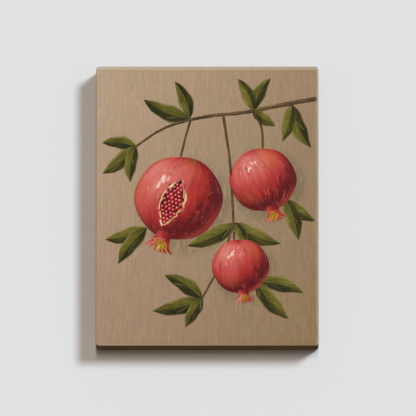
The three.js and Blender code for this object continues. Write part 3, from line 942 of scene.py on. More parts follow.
def modelled_mark():
    """A flat grid with ridges 1 high and drawn-in ends, closed underneath."""
    mark = start_from("grid", x_subdivisions=ROWS - 1, y_subdivisions=COLUMNS - 1, size=1)
    near = 0.02
    width_and_height = {0: (0.6, 0.5), 1: (0.9, 1.25), ROWS - 2: (0.92, 0.8), ROWS - 1: (0.5, 0.35)}
    with Editing(mark) as work:
        for column in range(1, COLUMNS - 1):
            y = column / (COLUMNS - 1) - 0.5
            work.pick("VERT", lambda v: abs(v.co.y - y) < near)
            work.move(0, 0, 1.0 if column % 2 else 0.6)
        for row, (wide, thick) in width_and_height.items():
            x = row / (ROWS - 1) - 0.5
            work.pick("VERT", lambda v: abs(v.co.x - x) < near)
            work.scale((1, wide, thick), (0, 0, 0))
        work.pick("EDGE", lambda e: e.is_boundary and abs(e.verts[0].co.x - e.verts[1].co.x) > near)
        bpy.ops.mesh.bridge_edge_loops()
        work.pick("EDGE", lambda e: e.is_boundary)
        bpy.ops.mesh.edge_face_add()
        work.face_out()
    return mark


def modelled_dome():
    """A disc of radius 1 whose rings rise to 1 in the middle."""
    dome = start_from("circle", vertices=72, radius=1, fill_type="NGON")
    with Editing(dome) as work:
        work.pick_all()
        work.extrude(0, 0, 0.06)
        radius = 1
        for inner in (0.97, 0.92, 0.85, 0.77, 0.68, 0.58, 0.47, 0.35, 0.23, 0.12):
            bpy.ops.mesh.inset(thickness=radius - inner)
            work.move(0, 0, radius**2 - inner**2)
            radius = inner
        bpy.ops.mesh.merge(type="CENTER")
        work.face_out()
    return dome


def modelled_seed():
    """A seed like a drop, with its point at +X."""
    seed = start_from("uv_sphere", segments=14, ring_count=9, radius=1)
    with Editing(seed) as work:
        for start, pull in ((0.3, 0.9), (0.6, 0.82), (0.8, 0.8)):
            work.pick("VERT", lambda v: v.co.x > start)
            work.scale((1.12, pull, pull), (start, 0, 0))
    return seed


# ---- Laying paint ----


def rows(first, last):
    """One number for each row of a brush mark, from its start to its end."""
    return np.linspace(first, last, ROWS)


def line(start, end):
    return start + (end - start) * rows(0, 1)[:, None]


class Paint:
    """Paint gathered for one piece. Places are in mm from the picture's middle, to the right and up."""

    def __init__(self, draw):
        self.draw = draw
        self.shapes, self.colours, self.bristles = [], [], []

    def shape(self, pattern, places, depth, colours, bristles=None):
        """A pattern that is already in its place."""
        corners = np.stack([places[:, 0] * MM, FACE_Y - depth * MM, MIDDLE_Z + places[:, 1] * MM], 1)
        self.shapes.append((corners, pattern.faces))
        self.colours.append(colours)
        self.bristles.append(places if bristles is None else bristles)

    def mark(self, path, width, height, thick, own, around=None, hairs=0.07, soft=1.0):
        """One brush mark along ROWS places. Its edges melt into what around gives for their places."""
        brush = PATTERNS["mark"]
        along = np.gradient(path, axis=0)
        lengths = np.hypot(*along.T)
        sideways = beside(along) / lengths[:, None]
        half = np.broadcast_to(width, ROWS)[brush.row] / 2
        places = path[brush.row] + sideways[brush.row] * (brush.across * half)[:, None]
        depth = np.broadcast_to(height, ROWS)[brush.row] + brush.height * thick
        hair = 1 + hairs * self.draw.standard_normal(COLUMNS)
        colours = np.broadcast_to(own, (ROWS, 3))[brush.row] * hair[brush.column][:, None]
        if around is not None:
            colours = blend(colours, around(places), soft * brush.soft[:, None])
        bristles = np.stack([np.cumsum(lengths)[brush.row], brush.across * half], 1)
        self.shape(brush, places, depth, colours, bristles + self.draw.uniform(0, 60, 2))

    def piece(self, name, slot, finish, replaced=()):
        """All the paint as one finished piece, with its colours and the brush's paths in its mesh."""
        made = gathered(name, self.shapes, 60)
        mesh = made.data
        loops = np.empty(len(mesh.loops), int)
        mesh.loops.foreach_get("vertex_index", loops)
        paths = np.concatenate(self.bristles)[loops] * MM
        mesh.uv_layers.new(name="bristles").data.foreach_set("uv", paths.ravel())
        colours = np.clip(np.concatenate(self.colours), 0.001, 1)
        rgba = np.insert(colours, 3, 1, axis=1)
        mesh.color_attributes.new("paint", "FLOAT_COLOR", "POINT").data.foreach_set("color", rgba.ravel())
        mesh.update()
        return finish_piece(made, name, slot, finish, replaced)


# ---- The picture's design ----

# Places and lengths are in mm, from the picture's middle, and angles are in degrees.

# The painted light comes from the upper left.
LIGHT = np.array([-0.46, 0.56, 0.69])
# Each group of leaves has the place of its stalk, and each leaf its angle, length, width and curl.
LEAVES = {
    1: ((-90, 76), [(174, 42, 15, 14), (220, 54, 18, -12), (262, 46, 15, 16)]),
    2: ((-22, 112), [(112, 50, 16, 16), (158, 62, 19, -16)]),
    3: ((58, 122), [(62, 46, 15, -18), (116, 44, 15, 14), (-36, 34, 13, 10)]),
    4: ((106, 129), [(-66, 60, 19, 16), (-104, 48, 15, -12)]),
    5: ((34, -22), [(-24, 64, 19, 16), (206, 66, 19, -14), (-58, 30, 12, -8)]),
    6: ((-6, -118), [(148, 56, 18, 14), (194, 64, 19, -12), (240, 42, 15, 8)]),
    7: ((-76, -28), [(196, 54, 18, -14), (232, 58, 18, 12)]),
    8: ((98, 8), [(-36, 46, 16, 14), (-72, 54, 17, -12)]),
    9: ((62, -96), [(-14, 60, 18, -14), (-50, 62, 19, 12)]),
}
# Each twig has the places that it runs through, and its half-width at its start and its end.
TWIGS = [
    ([(138, 136.6), (96, 129), (46, 119), (-6, 113), (-54, 99), (-92, 74)], 3.2, 1.4),
    ([(-20, 112), (-26, 92), (-34, 60)], 1.6, 1.5),
    ([(58, 120), (68, 100), (70, 70)], 1.6, 1.5),
    ([(20, 116), (28, 60), (32, 0), (34, -44)], 1.8, 1.5),
    ([(33, -22), (18, -70), (-7, -119)], 1.6, 1.3),
]
# The direction of each fruit's crown.
CROWNS = {"large": -112, "middle": -72, "small": -84}
# Marks are sized for a fruit of this radius, and scaled to each fruit's own.
FULL_RADIUS = 54

# The split's middle, half-length and half-width are in radii of its fruit.
SPLIT_AT = np.array([-0.16, -0.1])
SPLIT_TURN = math.radians(-112)
SPLIT_LONG = 0.6
SPLIT_WIDE = 0.27


def palette(*colours):
    return [paint_rgb(*rgb) for rgb in colours]


LEAF_TONES = palette((22, 23, 3), (43, 41, 6), (70, 65, 14), (97, 91, 27), (123, 116, 46), (152, 142, 74))
BARK_TONES = palette((46, 32, 20), (80, 60, 36), (112, 86, 54), (150, 122, 84))
SKIN_TONES = palette(
    (66, 9, 12), (100, 14, 16), (140, 24, 23), (168, 42, 37), (188, 66, 58), (205, 98, 87), (224, 138, 124)
)
SEED_TONES = palette((66, 6, 14), (120, 12, 24), (168, 24, 36), (208, 62, 66), (238, 140, 132))
PITH_TONES = palette((196, 128, 88), (222, 176, 128), (240, 212, 172))
GOLD_TONES = palette((120, 84, 24), (168, 128, 34), (200, 160, 48), (228, 198, 100))
DARK_SKIN, LIGHT_SKIN, PALE_SKIN = SKIN_TONES[1], SKIN_TONES[5], SKIN_TONES[6]
BLUSH = paint_rgb(206, 124, 66)
ROSE = paint_rgb(196, 84, 96)
GLEAM = paint_rgb(248, 216, 202)
EMBER = paint_rgb(176, 62, 50)


def waver(angle):
    """A fruit's outline, which wavers a little round a circle."""
    return 1 + 0.012 * np.cos(6 * angle) + 0.02 * np.cos(2 * angle)


def fruit_shapes():
    """Each fruit's middle and radius in mm, from its node, which is a little wider than high."""
    wide, high_up = waver(0), waver(math.pi / 2)
    shapes = {}
    for name in FRUITS:
        low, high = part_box(f"paint_fruit_{name}")
        radius = (high.x - low.x) / 2 / wide / MM
        at = np.array([(high.x + low.x) / 2 / MM, (high.z - MIDDLE_Z) / MM - high_up * radius])
        shapes[name] = (at, radius)
    return shapes


FRUIT_SHAPES = fruit_shapes()


def ground_at(places):
    """The ground's colour: lightest at the upper left, rosier in patches, and darker near the fruits."""
    x, z = places[..., 0], places[..., 1]
    across = np.clip((x * MM + HALF_W) / (2 * HALF_W), 0, 1)[..., None]
    up = np.clip((z * MM + HALF_H) / (2 * HALF_H), 0, 1)[..., None]
    bottom = blend(GROUND_BOTTOM_LEFT, GROUND_BOTTOM_RIGHT, across)
    colours = blend(bottom, blend(GROUND_TOP_LEFT, GROUND_TOP_RIGHT, across), up)
    rosy = np.sin(x / 9 + 2.2 * np.sin(z / 31)) * np.sin(z / 17 + 1.7 * np.sin(x / 23))
    colours = colours * (1 + rosy[..., None] * np.array([0.014, -0.01, 0.014]))
    shadow, halo = 0, 0
    for at, radius in FRUIT_SHAPES.values():
        off = places - at
        shifted = np.hypot(off[..., 0] - 0.17 * radius, off[..., 1] + 0.21 * radius) / radius
        shadow = np.maximum(shadow, 1 - rise(shifted, 0.92, 1.3))
        halo = np.maximum(halo, 1 - rise(np.hypot(off[..., 0], off[..., 1]) / radius, 1.0, 1.7))
    return colours * (1 - 0.26 * shadow[..., None]) * (1 - halo[..., None] * np.array([0.03, 0.0, 0.035]))


def lay_ground_mark(paint, lateness):
    """One upright mark on the ground, but not under a fruit. Late marks, near 1, lie over early ones."""
    draw = paint.draw
    rounding = 1.9
    edges = np.array([HALF_W, HALF_H]) / MM - rounding
    t = rows(0, 1)
    long = draw.uniform(8, 26)
    width = draw.uniform(1.6, 4.0)
    reach = edges - draw.uniform((0, 0), (0.8, 6))
    x, z = draw.uniform(-reach, reach)
    x = np.clip(x, width / 2 - reach[0], reach[0] - width / 2)
    # The marks stop short of the top edge, so that the rim's painted highlight shows there.
    rim_highlight_gap = 3.2 + draw.uniform(0, 0.8)
    z = np.clip(z, long / 2 - reach[1], edges[1] - rim_highlight_gap - long / 2)
    away = [np.hypot(*(np.array([x, z]) - at)) - radius for at, radius in FRUIT_SHAPES.values()]
    if min(away) < -0.5 * long:
        return
    sway = draw.normal(0, 0.06) * long * (t - 0.5) + draw.normal(0, 1.5) * t * (1 - t)
    limit = edges[0] - width / 2
    path = np.stack([np.clip(x + sway, -limit, limit), z + long * (0.5 - t)], 1)
    tint = 1 + draw.normal(0, 0.038) + np.array([draw.normal(0, 0.008), 0, draw.normal(0, 0.02)])
    under = np.zeros(ROWS)
    for leaf in sum(LEAF_GROUPS.values(), []):
        if np.hypot(*(leaf.place(np.array(0.5)) - (x, z))) < (leaf.long + long) / 2 + width:
            under = np.maximum(under, leaf.covers(path, width / 2))
    height = blend(-0.06 + 0.14 * lateness, -0.18, under)
    paint.mark(path, width, height, draw.uniform(0.05, 0.12), ground_at(path) * tint, ground_at, 0.03, 0.6)


class PICTURE_OT_ground(bpy.types.Operator):
    """Brush the ground in upright marks"""

    bl_idname = "picture.ground"
    bl_label = "Painted ground"

    def execute(self, context):
        settings = context.scene.picture_paint
        draw = np.random.default_rng(settings.seed)
        finish = oil_paint("ground_oil")
        for late, layer in enumerate(("first", "second")):
            paint = Paint(draw)
            while len(paint.shapes) < settings.ground_marks:
                lay_ground_mark(paint, (len(paint.shapes) / settings.ground_marks + late) / 2)
            paint.piece(f"ground_paint_{layer}", "canvas", finish)
        return {"FINISHED"}


class Leaf:
    """A painted leaf. t runs from its stalk to its tip, 0 to 1, and s from its rib, at 0, to its edges."""

    def __init__(self, at, angle, long, width, curl):
        self.at = np.array(at)
        self.angle, self.long, self.width, self.curl = angle, long, width, curl
        self.lit_side = 1 if beside(ahead(math.radians(angle))) @ LIGHT[:2] > 0 else -1
        self.waves, self.mood = np.zeros(4), 0.0
        self.lift, self.over = 0.0, []

    def place(self, t, s=0.0):
        spine = self.at + (t * self.long)[..., None] * ahead(np.radians(self.angle + self.curl * (t - 1)))
        heading = ahead(np.radians(self.angle + self.curl * (t - 0.5) * 2))
        return spine + (s * self.half(t))[..., None] * beside(heading)

    def half(self, t):
        """Half the leaf's width."""
        wavy = self.width / 2 * (1 + 0.09 * np.sin(14 * t + math.radians(self.angle)))
        return wavy * np.sin(np.pi * np.clip(t, 0, 1) ** 0.85) ** 0.9 + 0.8 * (1 - t) + 0.25

    def covers(self, places, margin=0.0):
        """How far places lie behind the leaf: 0 outside its outline, and 1 a little inside."""
        t = np.linspace(0, 1, 30)
        away = np.linalg.norm(places[:, None] - self.place(t), axis=-1) - margin
        return 1 - rise((away / self.half(t)).min(axis=1), 0.8, 1.1)

    def colour(self, t, s):
        """One half is lit. The tone wavers along the veins, and darkens at the stalk."""
        a, b, c, _ = self.waves
        tone = 0.39 + self.mood + 0.19 * np.tanh(4 * s * self.lit_side) + 0.06 * np.sin(8 * t + a + 2 * s)
        tone += 0.035 * np.sin(34 * (t - 0.22 * abs(s)) + b) + 0.05 * np.sin(3 * t + c)
        tone += 0.1 * rise(abs(s), 0.72, 0.9) - 0.2 * np.exp(-t / 0.09)
        melting = 0.75 * rise(abs(s), 0.9, 1.12)[..., None]
        return blend(steps(tone, LEAF_TONES), ground_at(self.place(t, s)), melting)

    def stroke(self, paint, t, s, width, height, thick, tone=0.0, **options):
        """A mark along places t and s, which is lighter than the leaf by tone and melts into it."""
        brush = PATTERNS["mark"]
        half = np.broadcast_to(width, ROWS) / 2 / np.maximum(self.half(t), 0.5)
        own = blend(self.colour(t, s), LEAF_TONES[-1] if tone > 0 else LEAF_TONES[0], abs(tone))
        path = self.place(t, s)
        if height > 0:
            hidden = np.max([behind_fruits(path), *(leaf.covers(path) for leaf in self.over)], axis=0)
            height = blend(height, -0.3, hidden)

        def around(_):
            return self.colour(t[brush.row], s[brush.row] + brush.across * half[brush.row])

        paint.mark(path, width, height + self.lift, thick, own, around, **options)


def placed_leaves():
    """The leaves of each group. Each one lies under those that come after it."""
    groups = {}
    for group, (at, leaves) in LEAVES.items():
        groups[group] = [Leaf(at, *leaf) for leaf in leaves]
        for i, leaf in enumerate(groups[group]):
            leaf.lift, leaf.over = 0.1 * i, groups[group][i + 1 :]
    return groups


LEAF_GROUPS = placed_leaves()


def paint_leaf(paint, leaf, count):
    """One leaf: its two halves, the marks that sweep along its veins, its lit edge and its rib."""
    draw = paint.draw
    leaf.waves, leaf.mood = draw.uniform(0, 2 * np.pi, 4), draw.uniform(-0.06, 0.06)
    t = rows(0, 1)
    for side in (-1, 1):
        width = np.maximum(leaf.half(t) * 1.16, 0.7)
        leaf.stroke(paint, t, np.full(ROWS, 0.47 * side), width, -0.04, 0.3, hairs=0.04)
    for i in range(count):
        side = -1 if i % 2 else 1
        start = draw.uniform(0.02, 0.6)
        u = rows(start, min(start + draw.uniform(0.22, 0.42), 0.97))
        edge = draw.uniform(0.45, 0.9)
        s = side * (0.1 + (edge - 0.1) * t**0.8)
        tone = np.clip(draw.normal(0.05 * side * leaf.lit_side, 0.16), -0.4, 0.4)
        width, thick = draw.uniform(1.6, 3.2), draw.uniform(0.1, 0.2)
        leaf.stroke(paint, u, s, width, 0.16 + 0.16 * i / count, thick, tone)
    for _ in range(3):
        start = draw.uniform(0.15, 0.5)
        u = rows(start, start + draw.uniform(0.2, 0.36))
        s = np.full(ROWS, 0.86 * leaf.lit_side) + draw.normal(0, 0.03)
        leaf.stroke(paint, u, s, draw.uniform(0.9, 1.5), 0.32, 0.16, 0.5, soft=0.5)
    u = rows(0, draw.uniform(0.6, 0.85))
    leaf.stroke(paint, u, np.full(ROWS, -0.1 * leaf.lit_side), rows(1.8, 0.8), 0.3, 0.12, -0.55)
    leaf.stroke(paint, u, np.zeros(ROWS), rows(1.3, 0.5), 0.36, 0.18, 0.42, soft=0.4)


class PICTURE_OT_leaves(bpy.types.Operator):
    """Paint the leaves"""

    bl_idname = "picture.leaves"
    bl_label = "Painted leaves"

    def execute(self, context):
        settings = context.scene.picture_paint
        finish = oil_paint("leaf_oil")
        for group, leaves in LEAF_GROUPS.items():
            paint = Paint(np.random.default_rng(settings.seed + group))
            for leaf in leaves:
                paint_leaf(paint, leaf, settings.leaf_marks)
            paint.piece(f"leaf_paint_{group}", "paint_leaf", finish, [f"paint_leaves_{group}"])
        return {"FINISHED"}


def spline(points, t):
    """Places along a smooth curve through points, at t from 0 to 1."""
    points = np.array(points, float)
    ends = np.vstack([2 * points[0] - points[1], points, 2 * points[-1] - points[-2]])
    s = np.clip(t, 0, 1) * (len(points) - 1)
    i = np.minimum(s.astype(int), len(points) - 2)
    f = (s - i)[:, None]
    a, b, c, d = ends[i], ends[i + 1], ends[i + 2], ends[i + 3]
    return 0.5 * (2 * b + (c - a) * f + (2 * a - 5 * b + 4 * c - d) * f**2 + (3 * b - a - 3 * c + d) * f**3)


def behind_fruits(places):
    """How far places lie behind a fruit: 0 outside every outline, and 1 a little inside one."""
    away = [np.hypot(*(places - at).T) / radius for at, radius in FRUIT_SHAPES.values()]
    return 1 - rise(np.min(away, axis=0), 0.92, 1.0)


def paint_twig(paint, points, start, end):
    """One twig: marks end to end for its body, then its lights and darks. It passes behind the fruits."""
    draw = paint.draw
    span = np.hypot(*np.diff(np.array(points), axis=0).T).sum()
    section, spacing, longest = 16, 3.6, 15
    sections = max(2, round(span / section))
    for i in range(sections):
        path = spline(points, rows(max(i - 0.1, 0) / sections, min(i + 1.15, sections) / sections))
        half = start + (end - start) * (i + 0.5) / sections
        behind = behind_fruits(path)
        if behind.min() < 1:
            paint.mark(path, 2.1 * half, -0.03 - 0.42 * behind, 0.5, BARK_TONES[1], ground_at, 0.1, 0.25)
    for i in range(round(span / spacing)):
        first = draw.uniform(0, 1 - longest / span)
        u = rows(first, first + draw.uniform(7, longest) / span)
        path = spline(points, u)
        if behind_fruits(path).max() > 0.2:
            continue
        along = np.gradient(path, axis=0)
        # Out points away from the twig's middle, on the side that faces up and left.
        out = beside(along) / np.hypot(*along.T)[:, None]
        out *= np.sign(out[:, 1:] - 0.6 * out[:, :1] + 1e-9)
        half = start + (end - start) * u.mean()
        offset = draw.uniform(-0.7, 0.7)
        own = steps(0.45 + 0.5 * offset + draw.normal(0, 0.1), BARK_TONES)
        width = draw.uniform(0.4, 0.8) * half
        paint.mark(path + out * (offset * half), width, 0.36, draw.uniform(0.12, 0.22), own, hairs=0.1)


class PICTURE_OT_branch(bpy.types.Operator):
    """Paint the branch and its twigs"""

    bl_idname = "picture.branch"
    bl_label = "Painted branch"

    def execute(self, context):
        paint = Paint(np.random.default_rng(context.scene.picture_paint.seed + 50))
        for twig in TWIGS:
            paint_twig(paint, *twig)
        paint.piece("branch_paint", "paint_bark", oil_paint("bark_oil"), ["paint_branch"])
        return {"FINISHED"}


class Fruit:
    """A painted fruit: its place in mm, and the colour and relief of its skin."""

    def __init__(self, name, draw):
        self.at, self.radius = FRUIT_SHAPES[name]
        self.scale = self.radius / FULL_RADIUS
        self.crown = math.radians(CROWNS[name])
        self.down = ahead(self.crown)
        self.side = beside(self.down)
        self.waves = draw.uniform(0, 2 * np.pi, 9)
        self.split = name == "large"

    def from_middle(self, down, side):
        """A place this many radii towards the crown and across."""
        return self.at + self.radius * (down * self.down + side * self.side)

    def place(self, latitude, longitude):
        """A place by its angle towards the crown and its angle across."""
        across = np.cos(latitude) * np.sin(longitude)
        return self.from_middle(np.sin(latitude)[..., None], across[..., None])

    def away(self, places):
        """The distance from the middle, 1 at the outline."""
        off = (places - self.at) / self.radius
        return np.hypot(off[..., 0], off[..., 1]) / waver(np.arctan2(off[..., 1], off[..., 0]))

    def inside(self, path, width):
        """A path moved in, so that a mark of this width stays within the outline."""
        limit = 1.005 - np.broadcast_to(width, ROWS) / 2 / self.radius
        return self.at + (path - self.at) * np.minimum(1, limit / self.away(path))[:, None]

    def relief(self, places):
        """How far the paint stands out from the sheet, in mm."""
        return 0.15 + 0.65 * np.clip(1 - self.away(places) ** 2, 0, 1)

    def skin(self, places):
        """The skin's colour at any place, which melts into the ground at the outline."""
        off = (places - self.at) / self.radius
        away = self.away(places)
        near = np.sqrt(np.clip(1 - away**2, 0, 1))
        lit = np.clip(off[..., 0] * LIGHT[0] + off[..., 1] * LIGHT[1] + near * LIGHT[2], 0, 1)
        down = off @ self.down
        turn = off @ self.side / np.sqrt(np.clip(1 - down**2, 0.08, 1))
        w = self.waves
        tone = 0.1 + 0.82 * lit**1.1 + 0.03 * np.sin(21 * turn + w[0] + np.sin(4 * down + w[1]))
        tone += 0.035 * np.sin(9 * turn + w[2]) * np.sin(5 * down + w[3])
        tone -= 0.3 * np.exp(-((np.hypot(down + 0.97, turn * 0.25) / 0.13) ** 2))
        blush = np.clip(np.sin(2.7 * turn + w[4]) * np.sin(2.4 * down + w[5]) - 0.15, 0, 1) * lit
        rosy = np.clip(np.sin(3.6 * turn + w[6]) * np.sin(3.1 * down + w[7]) - 0.2, 0, 1) * lit
        glow = rise(off[..., 0] * 0.6 - off[..., 1] * 0.8, 0.62, 0.95) * rise(away, 0.78, 0.95)
        colours = steps(tone, SKIN_TONES)
        for tint, share in ((BLUSH, 0.5 * blush), (ROSE, 0.45 * rosy), (EMBER, 0.45 * glow)):
            colours = blend(colours, tint, share[..., None])
        return blend(colours, ground_at(places), 0.85 * rise(away, 0.975, 1.04)[..., None])

    def torn(self, place, margin):
        """Whether a place lies in the split, whose half-width is made larger by a margin."""
        off = (place - self.at) / self.radius - SPLIT_AT
        along, across = off @ ahead(SPLIT_TURN) / SPLIT_LONG, off @ beside(ahead(SPLIT_TURN)) / SPLIT_WIDE
        return self.split and abs(along) < 1 and abs(across) < margin * max(1 - along**2, 0.02)

    def split_place(self, along, across):
        """A place by how far it is along and across the split, -1 to 1."""
        off = np.asarray(along)[..., None] * SPLIT_LONG * ahead(SPLIT_TURN)
        off = off + np.asarray(across)[..., None] * SPLIT_WIDE * beside(ahead(SPLIT_TURN))
        return self.at + self.radius * (SPLIT_AT + off)


def paint_body(paint, fruit):
    """The fruit's underpainting: a low dome in the skin's own colours."""
    dome = PATTERNS["dome"]
    x, y, up = dome.places.T
    places = fruit.at + fruit.radius * dome.places[:, :2] * waver(np.arctan2(y, x))[:, None]
    paint.shape(dome, places, np.where(up < 0.03, -0.04, 0.17 + 0.6 * up), fruit.skin(places))


def paint_skin(paint, fruit, count):
    """The skin: marks along the fruit from stalk to crown, broad at first and then finer."""
    draw = paint.draw
    for i in range(count):
        fine = i > 0.35 * count
        start = draw.uniform(-1.42, 1.0)
        latitude = rows(start, min(start + draw.uniform(*((0.25, 0.5) if fine else (0.5, 0.8))), 1.42))
        longitude = math.asin(draw.uniform(-0.98, 0.98))
        path = fruit.place(latitude, longitude + draw.normal(0, 0.04) * rows(0, 1))
        width = (draw.uniform(3, 5.6) if fine else draw.uniform(7, 10)) * fruit.scale
        width = width * np.sqrt(np.clip(np.cos(latitude), 0.12, 1)) * (0.5 + 0.5 * math.cos(longitude))
        path = fruit.inside(path, width)
        if fruit.torn(path[ROWS // 2], 1.05):
            continue
        change = draw.normal(0, 0.16 if fine else 0.1)
        own = blend(fruit.skin(path), LIGHT_SKIN if change > 0 else DARK_SKIN, min(abs(change), 0.4))
        height = fruit.relief(path) - 0.12 + 0.26 * i / count
        paint.mark(path, width, height, draw.uniform(0.16, 0.3), own, fruit.skin, soft=0.85)


def paint_edge(paint, fruit, count):
    """Marks that run round the outline, which draw the fruit's edge together."""
    draw = paint.draw
    for i in range(count):
        angle = 2 * math.pi * i / count + rows(0, draw.uniform(0.24, 0.42))
        width = draw.uniform(2.0, 3.4) * fruit.scale
        path = fruit.inside(fruit.at + fruit.radius * 1.2 * ahead(angle), width)
        own = blend(fruit.skin(path), LIGHT_SKIN if draw.random() < 0.4 else DARK_SKIN, draw.uniform(0, 0.16))
        paint.mark(path, width, fruit.relief(path) + 0.08, draw.uniform(0.12, 0.2), own, fruit.skin, soft=0.9)


def paint_specks(paint, fruit, count):
    """The russet freckles of the skin."""
    draw = paint.draw
    for _ in range(count):
        latitude = draw.uniform(-1.2, 1.2)
        longitude = math.asin(draw.uniform(-0.93, 0.93))
        path = fruit.place(rows(latitude, latitude + draw.uniform(0.015, 0.05)), longitude)
        if fruit.torn(path[0], 1.3):
            continue
        own = blend(fruit.skin(path), BLUSH if draw.random() < 0.6 else DARK_SKIN, 0.55)
        paint.mark(path, draw.uniform(0.5, 1.2), fruit.relief(path) + 0.32, 0.14, own)


def paint_touches(paint, fruit, count, arc, reach, tones, widest, lift=0.2, share=0.7):
    """Late touches on the skin, within an arc in degrees and a reach in radii."""
    draw = paint.draw
    for i in range(count):
        here = ahead(math.radians(draw.uniform(*arc))) * draw.uniform(*reach)
        latitude = math.asin(np.clip(here @ fruit.down, -0.98, 0.98))
        longitude = math.asin(np.clip(here @ fruit.side / max(math.cos(latitude), 0.2), -0.98, 0.98))
        span = draw.uniform(0.1, 0.24)
        path = fruit.place(rows(latitude - span / 2, latitude + span / 2), longitude)
        width = draw.uniform(2.6, widest) * fruit.scale
        path = fruit.inside(path, width)
        if fruit.torn(path[ROWS // 2], 1.25):
            continue
        own = blend(fruit.skin(path), steps(draw.uniform(0, 1), tones), share)
        height = fruit.relief(path) + lift + 0.12 * i / count
        paint.mark(path, width, height, draw.uniform(0.16, 0.28), own, fruit.skin)


def lay_seed(paint, fruit, centre_of, turned):
    """One glassy seed of the split, lit from the upper left."""
    draw = paint.draw
    seed = PATTERNS["seed"]
    long, wide = np.array([2.9, 2.35]) * draw.uniform(0.86, 1.12)
    x, y, up = (part[:, None] for part in seed.places.T)
    off = x * long * ahead(turned) + y * wide * beside(ahead(turned))
    tone = 0.42 + 0.3 * (off @ (-0.6, 0.8)) / wide + 0.1 * up[:, 0] + draw.normal(0, 0.06)
    spot = np.hypot(*(off / wide - (-0.3, 0.42)).T)
    colours = blend(steps(tone, SEED_TONES), GLEAM, 0.85 * (1 - rise(spot, 0.16, 0.42))[:, None])
    paint.shape(seed, centre_of + off, fruit.relief(centre_of) + 0.25 + 0.42 * up[:, 0], colours)


def paint_split(paint, fruit):
    """The split in the skin: its dark hollow, the seeds that fill it, and the pale pith round it."""
    draw = paint.draw
    dome = PATTERNS["dome"]
    along, across, up = dome.places.T
    across = across * np.sqrt(np.clip(1 - along**2, 0, 1))
    for long, wide, lift, tone in ((1.07, 1.22, 0.0, PITH_TONES[1]), (1, 1, 0.12, SEED_TONES[0])):
        bed = fruit.split_place(long * along, wide * across)
        depth = np.maximum(fruit.relief(bed), 0.3) + lift + 0.12 * up
        tones = tone * (1 + 0.12 * np.sin(9 * along + 5 * across))[:, None]
        paint.shape(dome, bed, np.where(up < 0.03, 0.1, depth), tones)
    spacing = 5.3 / fruit.radius
    along_step, across_step = spacing / SPLIT_LONG, spacing / SPLIT_WIDE
    for i, a in enumerate(np.arange(-0.86, 0.9, 0.86 * along_step)):
        for b in np.arange(-1 + 0.5 * (i % 2) * across_step, 1, across_step):
            if abs(b) <= (1 - a**2) - 0.48 * across_step:
                place = fruit.split_place(a, b) + draw.normal(0, 0.35, 2)
                lay_seed(paint, fruit, place, SPLIT_TURN + draw.normal(0.9 * b, 0.5))
    pith_marks, lip_marks = 30, 16
    for i in range(pith_marks + lip_marks):
        pith = i < pith_marks
        side = -1 if i % 2 else 1
        first = draw.uniform(-0.99, 0.8)
        a = rows(first, first + draw.uniform(0.12, 0.24))
        out = draw.uniform(-0.13, 0.0) if pith else draw.uniform(0.06, 0.16)
        path = fruit.split_place(a, side * (1 - np.clip(a, -1, 1) ** 2 + out))
        own = steps(draw.uniform(0.1, 1) - 0.25 * (side > 0), PITH_TONES)
        if not pith:
            own = blend(fruit.skin(path), LIGHT_SKIN if draw.random() < 0.5 else DARK_SKIN, 0.6)
        height = fruit.relief(path) + (0.3 if pith else 0.38)
        paint.mark(path, draw.uniform(1.5, 2.4), height, draw.uniform(0.2, 0.32), own, hairs=0.09)


def paint_crown(paint, fruit):
    """The crown's neck and its pointed sepals."""
    draw = paint.draw
    u = rows(0, 1)
    neck_half = 5
    for i in range(2 * neck_half + 1):
        side = (i - neck_half) / neck_half
        path = line(fruit.from_middle(0.84, 0.14 * side), fruit.from_middle(1.13, 0.15 * side))
        tone = 0.42 - 0.25 * side + draw.normal(0, 0.06)
        own = blend(steps(np.full(ROWS, tone), SKIN_TONES), DARK_SKIN, 0.35 * np.abs(1 - 2 * u)[:, None])
        paint.mark(path, 0.08 * fruit.radius, 0.12 + 0.02 * i, 0.5, own)
    for side in (-1, -0.62, 0.55, 1, 0.25, -0.2):
        tip = fruit.from_middle(1.37 - 0.07 * abs(side), 0.34 * side)
        bend = 0.06 * side * fruit.radius * fruit.side
        path = line(fruit.from_middle(1.0, 0.11 * side), tip) - bend * (4 * u * (1 - u))[:, None]
        tone = 0.4 - 0.22 * side + draw.normal(0, 0.05) + 0.25 * u
        width = 0.18 * fruit.radius * (1 - u) ** 0.75 + 0.5
        paint.mark(path, width, 0.2 + 0.1 * (1 - abs(side)), 0.4, steps(tone, SKIN_TONES), hairs=0.1)
        lit_path = path + 0.03 * fruit.radius * fruit.side
        paint.mark(lit_path, 0.3 * width + 0.3, 0.62, 0.16, steps(tone + 0.22, SKIN_TONES), hairs=0.1)


def paint_flesh(paint, fruit, count):
    """The body of the fruit, from its underpainting to its crown and its split."""
    edge_marks, specks = 44, 70
    share = fruit.scale**1.3
    paint_body(paint, fruit)
    paint_skin(paint, fruit, round(count * share))
    paint_edge(paint, fruit, round(edge_marks * share))
    paint_specks(paint, fruit, round(specks * share))
    paint_crown(paint, fruit)
    if fruit.split:
        paint_split(paint, fruit)


def paint_lights(paint, fruit, _):
    """The lights of the skin, and the gleams among them."""
    paint_touches(paint, fruit, 22, (85, 175), (0.36, 0.78), [LIGHT_SKIN, PALE_SKIN], 4.6)
    paint_touches(paint, fruit, 8, (112, 146), (0.5, 0.62), [PALE_SKIN, GLEAM, GLEAM], 4.4, 0.36, 0.9)


def paint_shades(paint, fruit, _):
    """The darks of the skin, at its lower right."""
    paint_touches(paint, fruit, 30, (-95, 25), (0.5, 0.88), SKIN_TONES[:3], 4.8)


